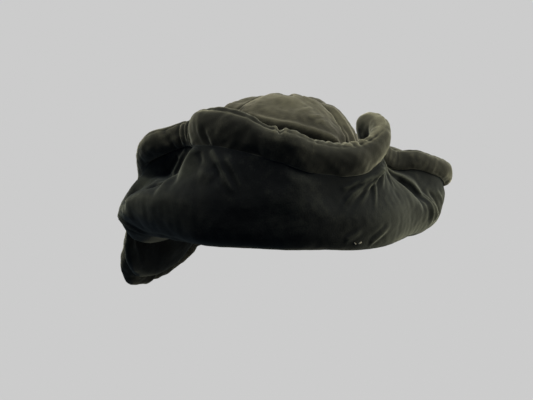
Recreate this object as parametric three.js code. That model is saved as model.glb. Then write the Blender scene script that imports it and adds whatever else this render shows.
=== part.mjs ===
// A soft three-cornered hat of black velvet over wadding. Its wide brim is turned up against a puffed
// crown and tacked to it at the front left, the front right and the back, so that it stands out in
// three corners between the tacks. The left rear corner is not turned up: it droops below the head
// opening. A flattened stuffed roll finishes the brim's edge all round, and the crown is four gores
// that meet in a dimple at the top.
//
// Frame: millimetres, +Z up, origin at the centre of the head opening, front of the hat towards -Y.
// An azimuth is in degrees about +Z, from 0 at the front, through 90 at +X, to 180 at the back.

import * as THREE from "three";

// ---------------------------------------------------------------- driving dimensions

const WALL = 3; // velvet, wadding and lining together
const SEAM_GAP = 0.7; // clearance between pieces that are sewn to each other

const OPENING_HALF_WIDTH = 79; // head opening, to the middle of the wall
const OPENING_HALF_LENGTH = 93;
const CROWN_FOOT_HEIGHT = 2; // where the crown's wall meets the brim's inner edge
const BRIM_ROOT_DEPTH = -7; // the brim first drops straight down to here

const ROLL_HALF_THICKNESS = 9.5; // of the stuffed roll; its half width is in the table of sections

const CROWN_HALF_WIDTH = 84;
const CROWN_HALF_LENGTH = 98;
const CROWN_TIP = { x: 8, y: 52 }; // where the four gores meet, right of centre and far back
const CROWN_TIP_PULL = 1.1; // how the crown leans to its tip: a power of the share of the way in
const CROWN_FALL = 0.19; // how far the crown sinks towards its back, as a share of its height
const CROWN_FALL_START = -12; // where that sets in
const CROWN_TOP_SHARE = 0.97; // the gores' points stop just short of it
const GORE_SPREAD = 16; // how far the seams bow away from the front, in degrees of azimuth
// The crown's gores, each from one seam's azimuth to the next.
const GORES = [
  { name: "front", from: -44, to: 53 },
  { name: "right", from: 53, to: 140 },
  { name: "back", from: 140, to: 228 },
  { name: "left", from: 228, to: 316 },
];
const SEAM_SINK = 2; // how far the crown is drawn in along a seam
const SEAM_SINK_ANGLE = 13; // half width of that groove, in degrees of azimuth
const SEAM_SINK_START = 0.2; // the share of the gore's height over which it sets in

// How finely each surface is divided.
const STEPS_PER_SECTION = 3;
const FRAME_STEP = 0.3; // the part of a section over which the edge roll's direction is taken
const STEPS_ALONG_RIB = 14;
const ROLL_SIDES = 8;
const GORE_STEPS_ROUND = 8;
const GORE_STEPS_UP = 9;

// ---------------------------------------------------------------- the brim's sections

// One row for each section round the hat. A section is a rib of the brim, from the head opening out
// through its lowest fold, its belly and its waist to the centre of the edge roll. Each station has an
// azimuth, a radius and a height; the belly's azimuth lies between those of the fold and the waist.
// rollHalf is the roll's half width, across the brim.
const SECTION_COLUMNS = [
  "name", "foldAz", "foldR", "foldZ", "bellyR", "bellyZ",
  "waistAz", "waistR", "waistZ", "rollAz", "rollR", "rollZ", "rollHalf",
];
const SECTION_ROWS = [
  ["front", 0, 133, -7, 141, 26, 0, 138, 52, 0, 132, 83, 15],
  ["front_right", 18, 135, -8, 142, 20, 16, 138, 40, 16, 134, 71, 15],
  ["ear_root", 32, 137, -11, 143, 15, 32, 138, 34, 32, 134, 68, 15],
  ["ear", 44, 137, -12, 143, 14, 46, 130, 44, 45, 128, 77, 15],
  ["ear_tip", 52, 136, -13, 142, 13, 54, 119, 51, 53, 116, 86, 14],
  ["ear_back", 58, 136, -14, 142, 13, 58, 112, 53, 57, 99, 86, 13],
  ["right_tack", 64, 137, -15, 143, 13, 61, 110, 50, 65, 96, 72, 12],
  ["right_rise", 71, 139, -16, 146, 10, 67, 118, 34, 74, 112, 51, 10],
  ["right_side", 79, 142, -19, 152, 4, 77, 142, 18, 81, 135, 50, 10],
  ["right_end", 89, 145, -24, 159, -4, 88, 160, 10, 89, 158, 39, 10],
  ["right_tip", 103, 145, -26, 161, -7, 103, 168, 1, 103, 172, 22, 10],
  ["right_rear", 120, 142, -24, 157, -6, 120, 166, 3, 120, 170, 26, 10.5],
  ["back_right", 142, 138, -20, 148, 3, 142, 150, 17, 142, 149, 40, 11.5],
  ["back_rise", 158, 134, -17, 142, 10, 159, 138, 34, 159, 130, 62, 12],
  ["back_tack", 177, 132, -16, 139, 10, 176, 126, 40, 177, 107, 71, 12],
  ["back_left", 190, 131, -17, 140, 2, 184, 124, 27, 189, 127, 51, 12],
  ["drop_rise", 202, 126, -18, 136, -13, 201, 137, -6, 200, 158, 6, 12],
  ["drop_back", 213, 116, -20, 130, -34, 213, 142, -47, 206, 164, -42, 11],
  ["drop_low", 224, 108, -20, 127, -46, 225, 144, -74, 216, 165, -73, 10],
  ["drop_mid", 233, 106, -20, 127, -50, 235, 146, -86, 227, 169, -94, 10],
  ["drop_tip", 241, 108, -22, 129, -49, 244, 149, -87, 240, 174, -97, 10],
  ["drop_front", 249, 116, -27, 136, -44, 254, 153, -74, 247, 171, -82, 10],
  ["drop_side", 255, 130, -34, 148, -38, 262, 153, -44, 251, 163, -53, 10],
  ["bulge_back", 262, 139, -36, 155, -26, 264, 151, -10, 254, 149, -12, 11],
  ["bulge", 269, 143, -33, 157, -12, 268, 144, 20, 260, 136, 26, 11],
  ["left_side", 276, 143, -27, 156, 0, 277, 123, 33, 271, 131, 52, 12],
  ["left_rise", 287, 138, -16, 152, 14, 288, 108, 40, 282, 119, 66, 12],
  ["left_tack", 297, 135, -12, 146, 24, 299, 103, 44, 294, 98, 78, 12.5],
  ["left_fold", 308, 134, -9, 145, 26, 312, 106, 52, 310, 97, 84, 15],
  ["left_corner", 319, 134, -7, 144, 26, 320, 124, 60, 320, 114, 91, 17],
  ["front_left", 336, 134, -6, 143, 28, 337, 134, 60, 338, 125, 95, 18],
];
const BELLY_TOWARDS_WAIST = 0.35; // share of the way from the fold's azimuth to the waist's

// Folds in the brim's outer face. Each runs from one point by way of a second to a third, given by
// azimuth and height. It stands out by its relief, or sinks in where that is negative, and it fades
// over its width and towards its end.
const FOLD_COLUMNS = ["fromAz", "fromZ", "viaAz", "viaZ", "toAz", "toZ", "width", "relief"];
const BRIM_FOLD_ROWS = [
  [57, 56, 36, 50, 22, 44, 7, 3], // ridges that fan out from the right tack
  [57, 56, 30, 42, 21, 21, 7, 3.5],
  [57, 54, 39, 44, 36, 11, 8, 3],
  [58, 52, 54, 42, 55, 28, 7, 3],
  [58, 52, 78, 26, 75, -4, 9, 4],
  [62, 36, 66, 18, 74, 0, 11, -4], // the hollow inside the last of them
  [84, 14, 86, 3, 82, -8, 8, 3],
  [-41, 68, -44, 52, -52, 33, 8, 4], // the lip at the front's left end
  [-45, 68, -53, 49, -64, 31, 7, -5], // the deep valley behind it
  [-27, 74, -20, 54, -16, 40, 7, 3], // ridges below the front's left end
  [-18, 69, -15, 54, -15, 38, 7, 2.5],
  [-31, 68, -30, 64, -29, 60, 7, -5], // the pocket between them and the lip
];
const CROWN_FOLD_ROWS = [
  [-40, 96, 8, 86, 46, 60, 8, -6], // the front gore sinks in behind the brim
];
const BRIM_FOLD_RADIUS = 130; // the radius at which an azimuth counts as a length
const FOLDS_START = [0.3, 0.45]; // shares of a rib over which the folds set in, and stop below the roll
const FOLDS_STOP = [0.93, 1];
const CROWN_FOLD_RADIUS = 66;

// The crown's outline from its foot to its tip: the share of its half width, and the height.
const CROWN_PROFILE = [
  { share: 0.96, height: CROWN_FOOT_HEIGHT },
  { share: 0.99, height: 26 },
  { share: 1.0, height: 48 },
  { share: 0.94, height: 68 },
  { share: 0.8, height: 87 },
  { share: 0.6, height: 103 },
  { share: 0.38, height: 112 },
  { share: 0.16, height: 113 },
  { share: 0.0, height: 111 },
];

// ---------------------------------------------------------------- small helpers

const radians = THREE.MathUtils.degToRad;
const clamp = THREE.MathUtils.clamp;
const smoothstep = THREE.MathUtils.smoothstep;

/** A point from its azimuth in degrees, radius and height. */
function polar(azimuth, radius, height) {
  const a = radians(azimuth);
  return new THREE.Vector3(radius * Math.sin(a), -radius * Math.cos(a), height);
}

/** Rows of plain values made into objects with the given column names. */
function readTable(columns, rows) {
  return rows.map((row) => Object.fromEntries(columns.map((column, i) => [column, row[i]])));
}

const SECTIONS = readTable(SECTION_COLUMNS, SECTION_ROWS);
const BRIM_FOLDS = readTable(FOLD_COLUMNS, BRIM_FOLD_ROWS);
const CROWN_FOLDS = readTable(FOLD_COLUMNS, CROWN_FOLD_ROWS);

/** The value of a column at section number t, on a closed Catmull-Rom curve through all rows. */
function sectionValue(column, t) {
  const count = SECTIONS.length;
  const turn = column.endsWith("Az") ? 360 : 0;
  const at = (k) => SECTIONS[((k % count) + count) % count][column] + turn * Math.floor(k / count);
  const i = Math.floor(t);
  const f = t - i;
  const [a, b, c, d] = [at(i - 1), at(i), at(i + 1), at(i + 2)];
  const square = (2 * a - 5 * b + 4 * c - d) * f ** 2;
  const cube = (3 * b - a - 3 * c + d) * f ** 3;
  return 0.5 * (2 * b + (c - a) * f + square + cube);
}

/** A cubic Hermite curve through points, with three-point tangents, read at a share of its length. */
function curveThrough(points, share) {
  const count = points.length;
  const span = [];
  const slope = [];
  for (let i = 0; i < count - 1; i++) {
    span.push(Math.max(points[i].distanceTo(points[i + 1]), 1e-6));
    slope.push(points[i + 1].clone().sub(points[i]).divideScalar(span[i]));
  }
  const tangent = points.map((_, i) => {
    if (i === 0 || i === count - 1) return null;
    const before = slope[i - 1].clone().multiplyScalar(span[i]);
    return before.addScaledVector(slope[i], span[i - 1]).divideScalar(span[i - 1] + span[i]);
  });
  const atEnd = (outermost, next) => outermost.clone().multiplyScalar(1.5).addScaledVector(next, -0.5);
  tangent[0] = atEnd(slope[0], tangent[1]);
  tangent[count - 1] = atEnd(slope[count - 2], tangent[count - 2]);

  let distance = share * span.reduce((sum, length) => sum + length, 0);
  let i = 0;
  while (i < count - 2 && distance > span[i]) distance -= span[i++];
  const u = clamp(distance / span[i], 0, 1);
  return new THREE.Vector3()
    .addScaledVector(points[i], 2 * u ** 3 - 3 * u ** 2 + 1)
    .addScaledVector(tangent[i], (u ** 3 - 2 * u ** 2 + u) * span[i])
    .addScaledVector(points[i + 1], -2 * u ** 3 + 3 * u ** 2)
    .addScaledVector(tangent[i + 1], (u ** 3 - u ** 2) * span[i]);
}

/** Unit normals of a grid of points, from its neighbours' differences; the grid may close on itself. */
function gridNormals(grid, closesRound) {
  const rows = grid.length;
  const columns = grid[0].length;
  return grid.map((line, i) =>
    line.map((_, j) => {
      const before = closesRound ? grid[(i + rows - 1) % rows][j] : grid[Math.max(i - 1, 0)][j];
      const after = closesRound ? grid[(i + 1) % rows][j] : grid[Math.min(i + 1, rows - 1)][j];
      const below = line[Math.max(j - 1, 0)];
      const above = line[Math.min(j + 1, columns - 1)];
      const round = after.clone().sub(before);
      return round.cross(above.clone().sub(below)).normalize();
    }),
  );
}

/** A closed geometry from an outer and an inner sheet of points on the same grid, with its rims closed. */
function wallGeometry(outer, inner, closesRound) {
  const rows = outer.length;
  const columns = outer[0].length;
  const positions = [...outer.flat(), ...inner.flat()].flatMap((p) => [p.x, p.y, p.z]);
  const at = (sheet, i, j) => sheet * rows * columns + (i % rows) * columns + j;
  const index = [];
  const quad = (a, b, c, d) => index.push(a, b, c, a, c, d);
  const lastRow = closesRound ? rows : rows - 1;
  for (let i = 0; i < lastRow; i++) {
    for (let j = 0; j < columns - 1; j++) {
      quad(at(0, i, j), at(0, i + 1, j), at(0, i + 1, j + 1), at(0, i, j + 1));
      quad(at(1, i, j), at(1, i, j + 1), at(1, i + 1, j + 1), at(1, i + 1, j));
    }
    const top = columns - 1;
    quad(at(0, i, 0), at(1, i, 0), at(1, i + 1, 0), at(0, i + 1, 0));
    quad(at(0, i, top), at(0, i + 1, top), at(1, i + 1, top), at(1, i, top));
  }
  if (!closesRound) {
    const end = rows - 1;
    for (let j = 0; j < columns - 1; j++) {
      quad(at(0, 0, j), at(0, 0, j + 1), at(1, 0, j + 1), at(1, 0, j));
      quad(at(0, end, j), at(1, end, j), at(1, end, j + 1), at(0, end, j + 1));
    }
  }
  return indexedGeometry(positions, index);
}

function indexedGeometry(positions, index) {
  const geometry = new THREE.BufferGeometry();
  geometry.setAttribute("position", new THREE.Float32BufferAttribute(positions, 3));
  geometry.setIndex(index);
  geometry.computeVertexNormals();
  return geometry;
}

// ---------------------------------------------------------------- brim and edge roll

/** The stations of one rib of the brim, and the centre of the edge roll at its end. */
function ribStations(t) {
  const v = (column) => sectionValue(column, t);
  const foldAz = v("foldAz");
  const a = radians(foldAz);
  const bellyAz = THREE.MathUtils.lerp(foldAz, v("waistAz"), BELLY_TOWARDS_WAIST);
  const ringRadius = 1 / Math.hypot(Math.sin(a) / OPENING_HALF_WIDTH, Math.cos(a) / OPENING_HALF_LENGTH);
  return {
    foot: polar(foldAz, ringRadius, CROWN_FOOT_HEIGHT - SEAM_GAP),
    root: polar(foldAz, ringRadius, BRIM_ROOT_DEPTH),
    fold: polar(foldAz, v("foldR"), v("foldZ")),
    belly: polar(bellyAz, v("bellyR"), v("bellyZ")),
    waist: polar(v("waistAz"), v("waistR"), v("waistZ")),
    roll: polar(v("rollAz"), v("rollR"), v("rollZ")),
  };
}

/** The edge roll's centre, half width and axes: along it, across it away from the brim, and outward. */
function rollFrame(t) {
  const centre = ribStations(t).roll;
  const along = ribStations(t + FRAME_STEP).roll.sub(ribStations(t - FRAME_STEP).roll).normalize();
  const across = new THREE.Vector3();
  for (const step of [-2, -1, 0, 1, 2]) {
    const { waist, roll } = ribStations(t + step * FRAME_STEP);
    across.addScaledVector(roll.sub(waist).normalize(), 3 - Math.abs(step));
  }
  across.addScaledVector(along, -across.dot(along)).normalize();
  return { centre, along, across, out: along.clone().cross(across), half: sectionValue("rollHalf", t) };
}

/** How far a point is along the straight line between two others, from 0 to 1, and how far away from it. */
function alongLine(px, py, ax, ay, bx, by) {
  const dx = bx - ax;
  const dy = by - ay;
  const share = clamp(((px - ax) * dx + (py - ay) * dy) / (dx * dx + dy * dy), 0, 1);
  return { share, distance: Math.hypot(px - ax - share * dx, py - ay - share * dy) };
}

/** How far a face is moved out at a point, by all the folds of a table. */
function foldRelief(folds, radius, point) {
  const scale = radians(1) * radius;
  const x = THREE.MathUtils.radToDeg(Math.atan2(point.x, -point.y)) * scale;
  let relief = 0;
  for (const fold of folds) {
    const via = [fold.viaAz * scale, fold.viaZ];
    const first = alongLine(x, point.z, fold.fromAz * scale, fold.fromZ, ...via);
    const second = alongLine(x, point.z, ...via, fold.toAz * scale, fold.toZ);
    const share = first.distance < second.distance ? first.share * 0.5 : 0.5 + second.share * 0.5;
    const distance = Math.min(first.distance, second.distance);
    relief += fold.relief * (1 - smoothstep(share, 0.6, 1)) * Math.exp(-((distance / fold.width) ** 2));
  }
  return relief;
}

/** The middle surface of the brim: a line of points along each rib, for each step round the hat. */
function brimSurface() {
  const grid = [];
  for (let i = 0; i < SECTIONS.length * STEPS_PER_SECTION; i++) {
    const t = i / STEPS_PER_SECTION;
    const { foot, root, fold, belly, waist } = ribStations(t);
    const { centre, across, half } = rollFrame(t);
    const seam = centre.clone().addScaledVector(across, -(half + SEAM_GAP));
    const stations = [foot, root, fold, belly, waist, seam];
    const line = [];
    for (let j = 0; j <= STEPS_ALONG_RIB; j++) line.push(curveThrough(stations, j / STEPS_ALONG_RIB));
    grid.push(line);
  }
  const normals = gridNormals(grid, true);
  return grid.map((line, i) =>
    line.map((point, j) => {
      const share = j / STEPS_ALONG_RIB;
      const hold = smoothstep(share, ...FOLDS_START) * (1 - smoothstep(share, ...FOLDS_STOP));
      const relief = hold * foldRelief(BRIM_FOLDS, BRIM_FOLD_RADIUS, point);
      return point.clone().addScaledVector(normals[i][j], relief);
    }),
  );
}

/** The brim's wall: both faces of its middle surface, WALL apart, square to the roll at the seam. */
function brimGeometry() {
  const middle = brimSurface();
  const normals = gridNormals(middle, true);
  normals.forEach((line, i) => line.splice(-1, 1, rollFrame(i / STEPS_PER_SECTION).out));
  const moved = (i, point, j, distance) => point.clone().addScaledVector(normals[i][j], distance);
  const face = (distance) => middle.map((line, i) => line.map((point, j) => moved(i, point, j, distance)));
  return wallGeometry(face(WALL / 2), face(-WALL / 2), true);
}

/** The stuffed roll: a flattened oval carried all round the brim's edge. */
function edgeRollGeometry() {
  const positions = [];
  const index = [];
  const count = SECTIONS.length * STEPS_PER_SECTION;
  for (let i = 0; i < count; i++) {
    const { centre, across, out, half } = rollFrame(i / STEPS_PER_SECTION);
    for (let k = 0; k < ROLL_SIDES; k++) {
      const angle = (2 * Math.PI * k) / ROLL_SIDES;
      const p = centre
        .clone()
        .addScaledVector(across, half * Math.cos(angle))
        .addScaledVector(out, ROLL_HALF_THICKNESS * Math.sin(angle));
      positions.push(p.x, p.y, p.z);
      const here = i * ROLL_SIDES;
      const next = ((i + 1) % count) * ROLL_SIDES;
      const k1 = (k + 1) % ROLL_SIDES;
      index.push(here + k, next + k1, next + k, here + k, here + k1, next + k1);
    }
  }
  return indexedGeometry(positions, index);
}

// ---------------------------------------------------------------- crown

/** The crown's outer face at an azimuth about its tip, share 0 at the foot to 1 at the tip. */
function crownPoint(azimuth, share) {
  const profile = CROWN_PROFILE.map((p) => new THREE.Vector3(p.share * CROWN_HALF_WIDTH, 0, p.height));
  const onProfile = curveThrough(profile, share);
  const bow = GORE_SPREAD * Math.sin(radians(azimuth)) * Math.sin(Math.PI * share ** 2);
  const a = radians(azimuth + bow);
  const footRadius = CROWN_PROFILE[0].share * CROWN_HALF_WIDTH;
  const nearTip = Math.max(0, 1 - onProfile.x / footRadius) ** CROWN_TIP_PULL;
  const seamAway = Math.min(...GORES.map(({ from }) => Math.abs(((azimuth - from + 540) % 360) - 180)));
  const seamStart = smoothstep(share, 0, SEAM_SINK_START);
  const seamSink = SEAM_SINK * seamStart * Math.exp(-((seamAway / SEAM_SINK_ANGLE) ** 2));
  const aim = new THREE.Vector3(Math.sin(a), -Math.cos(a), 0).multiplyScalar(onProfile.x).setZ(onProfile.z);
  const relief = foldRelief(CROWN_FOLDS, CROWN_FOLD_RADIUS, aim) - seamSink;
  const swell = 1 + relief / CROWN_HALF_WIDTH;
  const x = CROWN_TIP.x * nearTip + aim.x * swell;
  const y = CROWN_TIP.y * nearTip + aim.y * swell * (CROWN_HALF_LENGTH / CROWN_HALF_WIDTH);
  const fall = 1 - CROWN_FALL * smoothstep(y, CROWN_FALL_START, CROWN_HALF_LENGTH);
  return new THREE.Vector3(x, y, CROWN_FOOT_HEIGHT + (aim.z - CROWN_FOOT_HEIGHT) * swell * fall);
}

/** The crown's outward normal, from steps to both sides, so that gores that meet at a seam agree on it. */
function crownNormal(azimuth, share) {
  const round = crownPoint(azimuth + 0.5, share).sub(crownPoint(azimuth - 0.5, share));
  const above = crownPoint(azimuth, Math.min(share + 0.01, 1));
  const below = crownPoint(azimuth, Math.max(share - 0.01, 0));
  return round.cross(above.sub(below)).normalize();
}

/** One gore of the crown, from a seam to the next, as a wall. */
function goreGeometry({ from, to }) {
  const outer = [];
  const inner = [];
  for (let i = 0; i <= GORE_STEPS_ROUND; i++) {
    const outerLine = [];
    const innerLine = [];
    for (let j = 0; j <= GORE_STEPS_UP; j++) {
      const share = (j / GORE_STEPS_UP) * CROWN_TOP_SHARE;
      const width = crownPoint(from, share).distanceTo(crownPoint(to, share));
      const margin = THREE.MathUtils.radToDeg(SEAM_GAP / width);
      const azimuth = THREE.MathUtils.lerp(from + margin, to - margin, i / GORE_STEPS_ROUND);
      const point = crownPoint(azimuth, share);
      outerLine.push(point);
      innerLine.push(point.clone().addScaledVector(crownNormal(azimuth, share), -WALL));
    }
    outer.push(outerLine);
    inner.push(innerLine);
  }
  return wallGeometry(outer, inner, false);
}

// ---------------------------------------------------------------- materials and assembly

const velvet = (color) => new THREE.MeshStandardMaterial({ color, roughness: 0.95, metalness: 0 });
const brimVelvet = velvet(0x1b1b19);
const rollVelvet = velvet(0x24231f);
const crownVelvet = velvet(0x2b2a25);

const hat = new THREE.Group();

function addPiece(name, geometry, material) {
  const mesh = new THREE.Mesh(geometry, material);
  mesh.name = name;
  hat.add(mesh);
}

for (const gore of GORES) addPiece(`crown_gore_${gore.name}`, goreGeometry(gore), crownVelvet);
addPiece("brim", brimGeometry(), brimVelvet);
addPiece("edge_roll", edgeRollGeometry(), rollVelvet);

export default hat;
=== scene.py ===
"""A soft three-cornered hat of black velvet over wadding.

The wide brim is turned up against a puffed crown and tacked at the front left, the front right and the
back. The left rear corner droops below the head opening. A stuffed roll finishes the brim's edge.

Lengths are worked out in millimetres and put into the meshes in metres. +Z is up, the origin is the
centre of the head opening and the front looks towards -Y. An azimuth is in degrees about +Z, from 0 at
the front, through 90 at +X, to 180 at the back.
"""

import logging
import math
from collections.abc import Sequence
from dataclasses import dataclass
from enum import Enum
from typing import NamedTuple

import bpy
import numpy as np
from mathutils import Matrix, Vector


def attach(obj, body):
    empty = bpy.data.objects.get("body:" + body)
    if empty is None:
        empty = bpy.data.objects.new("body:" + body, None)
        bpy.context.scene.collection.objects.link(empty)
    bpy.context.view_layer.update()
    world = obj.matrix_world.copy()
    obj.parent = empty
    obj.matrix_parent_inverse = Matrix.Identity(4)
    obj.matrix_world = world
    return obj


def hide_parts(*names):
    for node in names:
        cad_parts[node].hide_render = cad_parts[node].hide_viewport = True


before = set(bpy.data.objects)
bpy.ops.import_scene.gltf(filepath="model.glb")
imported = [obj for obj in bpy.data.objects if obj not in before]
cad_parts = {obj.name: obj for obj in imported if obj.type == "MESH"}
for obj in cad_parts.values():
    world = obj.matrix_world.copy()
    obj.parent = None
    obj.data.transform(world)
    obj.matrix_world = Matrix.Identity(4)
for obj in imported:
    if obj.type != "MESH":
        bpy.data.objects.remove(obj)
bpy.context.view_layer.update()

log = logging.getLogger("hat")

Array = np.ndarray
Piece = bpy.types.Object
Material = bpy.types.Material
Tree = bpy.types.NodeTree
Node = bpy.types.Node

MM = 0.001
FOLD_RADIUS = 130.0  # mm; the cylinder on which azimuths are measured as lengths
LEAST_SPACING = 0.3  # mm; nearer neighbours count as this far apart
TINY = 1e-6  # keeps lengths and spans that are divided by above 0
INNER_RELIEF_SHARE = 0.65  # how much of its outer face's relief a wall's inner face follows

# In widths of a fold: how far it is worked out, and the middle and spread of the grooves beside it.
FOLD_REACH = 4
GROOVE_PLACE = 1.9
GROOVE_SPREAD = 0.8

# The crest attribute is how sharply a cloth bends times a gain, within these limits.
CREST_LIMITS = (-0.6, 1.0)
WALL_CREST_GAIN = 3.0
INNER_CREST_SHARE = 0.3

# ---- the sections of the hat


class Section(NamedTuple):
    """One rib of the brim: azimuth (degrees), radius and height (mm) of each of its stations."""

    name: str
    fold_az: float
    fold_r: float
    fold_z: float
    belly_r: float
    belly_z: float
    waist_az: float
    waist_r: float
    waist_z: float
    roll_az: float
    roll_r: float
    roll_z: float
    roll_half: float


SECTIONS: tuple[Section, ...] = (
    Section("front", 0, 133, -7, 141, 26, 0, 138, 52, 0, 132, 83, 15),
    Section("front_right", 18, 135, -8, 142, 20, 16, 138, 40, 16, 134, 71, 15),
    Section("ear_root", 32, 137, -11, 143, 15, 32, 138, 34, 32, 134, 68, 15),
    Section("ear", 44, 137, -12, 143, 14, 46, 130, 44, 45, 128, 77, 15),
    Section("ear_tip", 52, 136, -13, 142, 13, 54, 119, 51, 53, 116, 86, 14),
    Section("ear_back", 58, 136, -14, 142, 13, 58, 112, 53, 57, 99, 86, 13),
    Section("right_tack", 64, 137, -15, 143, 13, 61, 110, 50, 65, 96, 72, 12),
    Section("right_rise", 71, 139, -16, 146, 10, 67, 118, 34, 74, 112, 51, 10),
    Section("right_side", 79, 142, -19, 152, 4, 77, 142, 18, 81, 135, 50, 10),
    Section("right_end", 89, 145, -24, 159, -4, 88, 160, 10, 89, 158, 39, 10),
    Section("right_tip", 103, 145, -26, 161, -7, 103, 168, 1, 103, 172, 22, 10),
    Section("right_rear", 120, 142, -24, 157, -6, 120, 166, 3, 120, 170, 26, 10.5),
    Section("back_right", 142, 138, -20, 148, 3, 142, 150, 17, 142, 149, 40, 11.5),
    Section("back_rise", 158, 134, -17, 142, 10, 159, 138, 34, 159, 130, 62, 12),
    Section("back_tack", 177, 132, -16, 139, 10, 176, 126, 40, 177, 107, 71, 12),
    Section("back_left", 190, 131, -17, 140, 2, 184, 124, 27, 189, 127, 51, 12),
    Section("drop_rise", 202, 126, -18, 136, -13, 201, 137, -6, 200, 158, 6, 12),
    Section("drop_back", 213, 116, -20, 130, -34, 213, 142, -47, 206, 164, -42, 11),
    Section("drop_low", 224, 108, -20, 127, -46, 225, 144, -74, 216, 165, -73, 10),
    Section("drop_mid", 233, 106, -20, 127, -50, 235, 146, -86, 227, 169, -94, 10),
    Section("drop_tip", 241, 108, -22, 129, -49, 244, 149, -87, 240, 174, -97, 10),
    Section("drop_front", 249, 116, -27, 136, -44, 254, 153, -74, 247, 171, -82, 10),
    Section("drop_side", 255, 130, -34, 148, -38, 262, 153, -44, 251, 163, -53, 10),
    Section("bulge_back", 262, 139, -36, 155, -26, 264, 151, -10, 254, 149, -12, 11),
    Section("bulge", 269, 143, -33, 157, -12, 268, 144, 20, 260, 136, 26, 11),
    Section("left_side", 276, 143, -27, 156, 0, 277, 123, 33, 271, 131, 52, 12),
    Section("left_rise", 287, 138, -16, 152, 14, 288, 108, 40, 282, 119, 66, 12),
    Section("left_tack", 297, 135, -12, 146, 24, 299, 103, 44, 294, 98, 78, 12.5),
    Section("left_fold", 308, 134, -9, 145, 26, 312, 106, 52, 310, 97, 84, 15),
    Section("left_corner", 319, 134, -7, 144, 26, 320, 124, 60, 320, 114, 91, 17),
    Section("front_left", 336, 134, -6, 143, 28, 337, 134, 60, 338, 125, 95, 18),
)

# ---- folds in the cloth


class Crest(Enum):
    """How a fold's cross-section falls away from its crest: the power in exp(-|x|^power)."""

    ROUND = 2.0
    SHARP = 1.1


ROUND, SHARP = Crest


@dataclass(frozen=True)
class Fold:
    """A ridge, or a valley where its height is negative, along a line on the cloth.

    The path is given by azimuth (degrees) and height (mm) on the brim, and by azimuth and radius (mm)
    on the crown. Width and height are in mm; groove is the depth of a hollow along both sides, as a
    share of the height; lean makes the side on the left of the path wider and the other narrower. It sets
    in over the path's first share, starts, and dies away from the share stops on.
    """

    path: tuple[tuple[float, float], ...]
    width: float
    height: float
    crest: Crest = Crest.ROUND
    groove: float = 0.0
    lean: float = 0.0
    starts: float = 0.0
    stops: float = 0.55


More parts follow.
